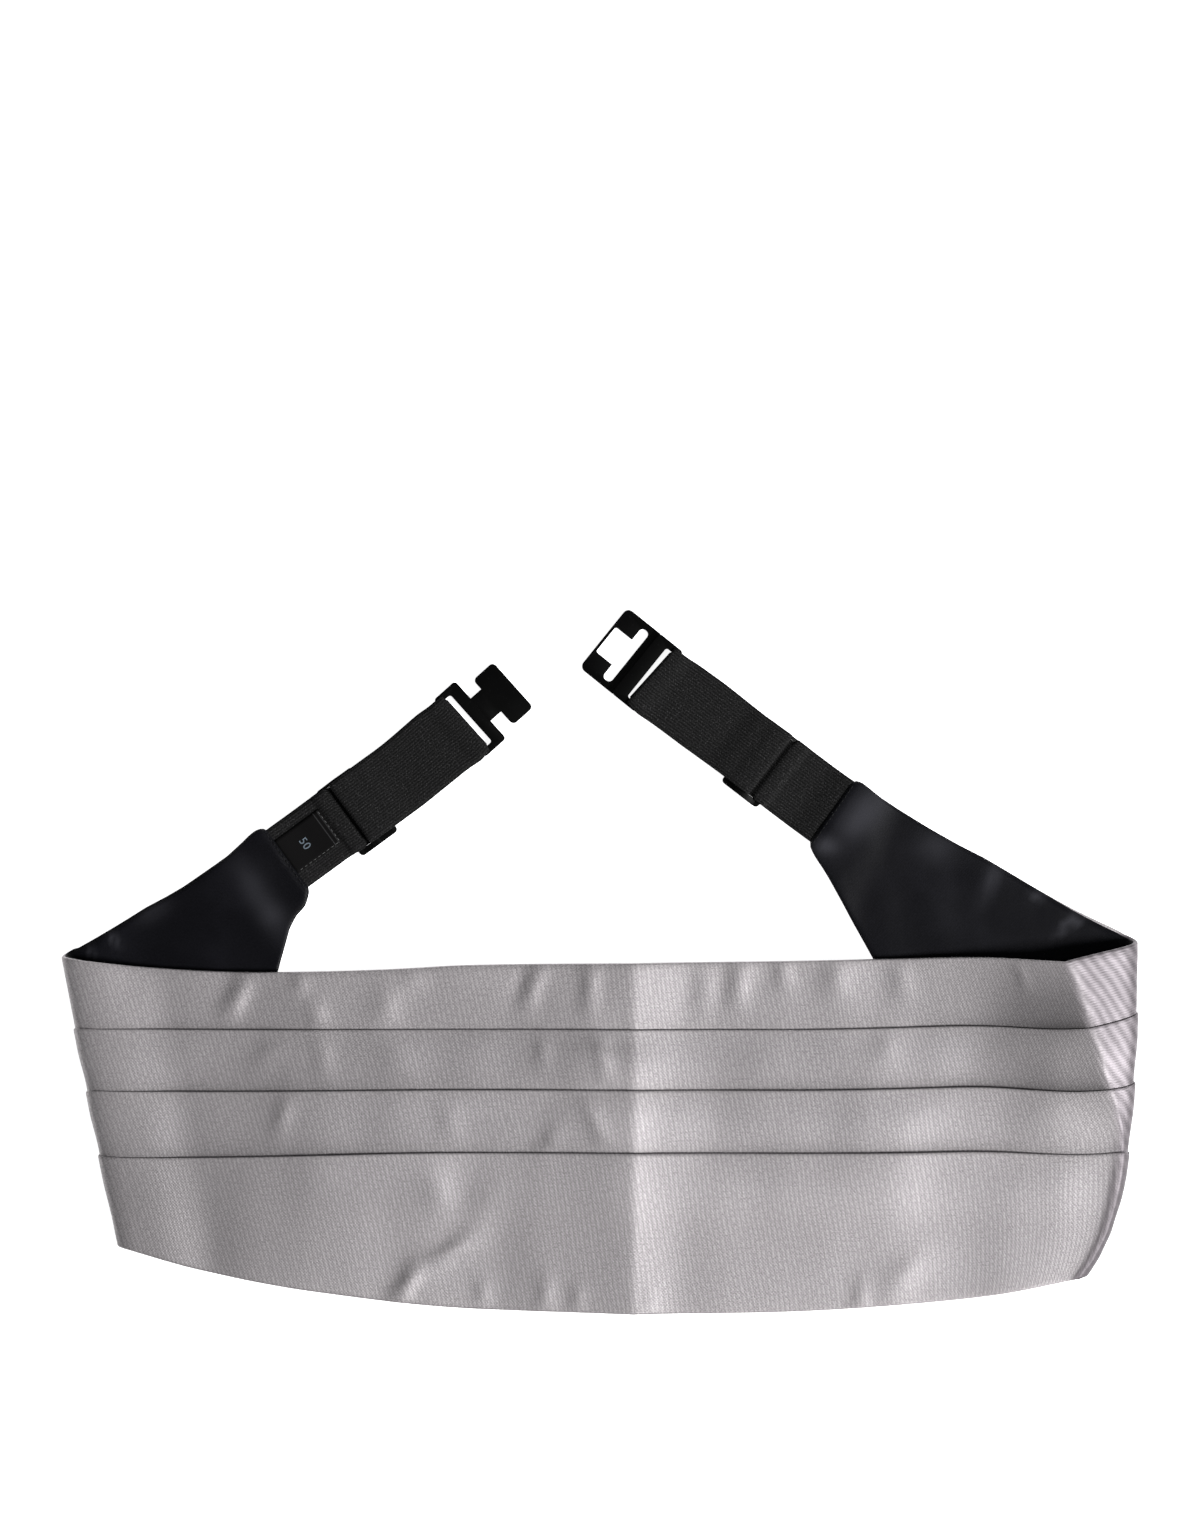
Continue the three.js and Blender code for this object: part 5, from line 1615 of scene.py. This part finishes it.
def mark_shades(cloth, patches, more=()):
    """Adds up soft patches of painted shade, or of painted sheen on the satin: each has a middle, two half
    sizes, a strength and may run aslant.
    """
    spots = places_on(cloth)
    shade = np.zeros(len(spots))
    for patch in patches:
        x, y = spots[:, 0] - patch["x"], spots[:, 1] - patch["y"]
        turn = math.radians(patch.get("run", 0))
        onward = (x * math.cos(turn) + y * math.sin(turn)) / patch["wide"]
        aside = (y * math.cos(turn) - x * math.sin(turn)) / patch["high"]
        shade += patch["by"] * np.exp(-onward**2 - aside**2)
    for extra in more:
        shade += extra(spots[:, 0], spots[:, 1])
    mark = cloth.data.attributes.new("shade", "FLOAT", "POINT")
    mark.data.foreach_set("value", np.clip(shade, 0, 1))


# %% Painted shade and painted sheen
# painted shade: the silk's colour is darkened in these patches, left of the crease and before the right
# turn's ridge
PAINTED_SILK_SHADE = [
    {"x": -190, "y": -110, "wide": 90, "high": 50, "by": 0.22},
    {"x": -60, "y": -110, "wide": 60, "high": 60, "by": 0.16},
    {"x": -100, "y": -40, "wide": 60, "high": 22, "by": 0.12},
    {"x": -9, "y": -110, "wide": 8, "high": 50, "by": 0.1},
    {"x": -187, "y": -85, "wide": 9, "high": 50, "by": 0.13},
    {"x": 150, "y": -20, "wide": 38, "high": 26, "by": 0.28},
    {"x": 172, "y": -18, "wide": 22, "high": 14, "by": 0.34},
    {"x": 176, "y": -44, "wide": 26, "high": 12, "by": 0.26},
]
# and painted sheen: the satin's colour is lighter in these patches, a painted highlight
PAINTED_SATIN_SHEEN = [
    {"x": 94, "y": 61, "run": 53, "wide": 13, "high": 6, "by": 0.8},
    {"x": 77, "y": 47, "wide": 5, "high": 3.5, "by": 0.7},
    {"x": 121, "y": 46, "wide": 8, "high": 6, "by": 0.3},
    {"x": 144, "y": 34, "run": 70, "wide": 9, "high": 3, "by": 0.5},
    {"x": 162, "y": 27, "wide": 3, "high": 2, "by": 0.6},
    {"x": 174, "y": 16, "run": 50, "wide": 6, "high": 1.6, "by": 0.8},
    {"x": 179, "y": 17, "run": 52, "wide": 3.5, "high": 1.1, "by": 0.6},
    {"x": -150, "y": 27, "run": -59, "wide": 16, "high": 5, "by": 0.5},
    {"x": -144, "y": 19, "wide": 5, "high": 5, "by": 0.35},
    {"x": -193, "y": 21, "run": 30, "wide": 8, "high": 4, "by": 0.35},
    {"x": -208, "y": 10, "run": -50, "wide": 4, "high": 1.6, "by": 0.6},
    {"x": -217, "y": 5, "run": -50, "wide": 3, "high": 1.2, "by": 0.5},
]
mark_roll(shell)
mark_shades(shell, PAINTED_SILK_SHADE, (fold_shades, pleat_shades))
mark_shades(lining, PAINTED_SATIN_SHEEN)
print("marks", [mark.name for mark in shell.data.attributes if mark.name in ("roll", "shade")])

# %% Put every finish on
dress(shell, silk_finish())
dress(lining, satin_finish())
elastic_material = elastic_finish()
enamel_material = enamel_finish()
for ribbon in elastics.values():
    dress(ribbon, elastic_material)
for piece in (*sliders, hook, eye):
    dress(piece, enamel_material)
dress(label, label_finish())
dress(number, plain_finish("printed number", 0.1, 0.17, 900, 0.7, -0.2))
thread_material = plain_finish("dark thread", 0.004, 0.02, 1500, 0.6)
grey_thread = plain_finish("grey thread", 0.07, 0.14, 1500, 0.6)
for row in stitches[:2]:
    dress(row, thread_material)
for row in stitches[2:]:
    dress(row, grey_thread)
dress(table, table_finish())
print("materials", len(bpy.data.materials))

# %% [markdown]
# ## What the cloth was cut from
# The length that each strap is cut to is worked out in metres.

# %% Sheets
for name, ribbon in elastics.items():
    strap_cut * MM
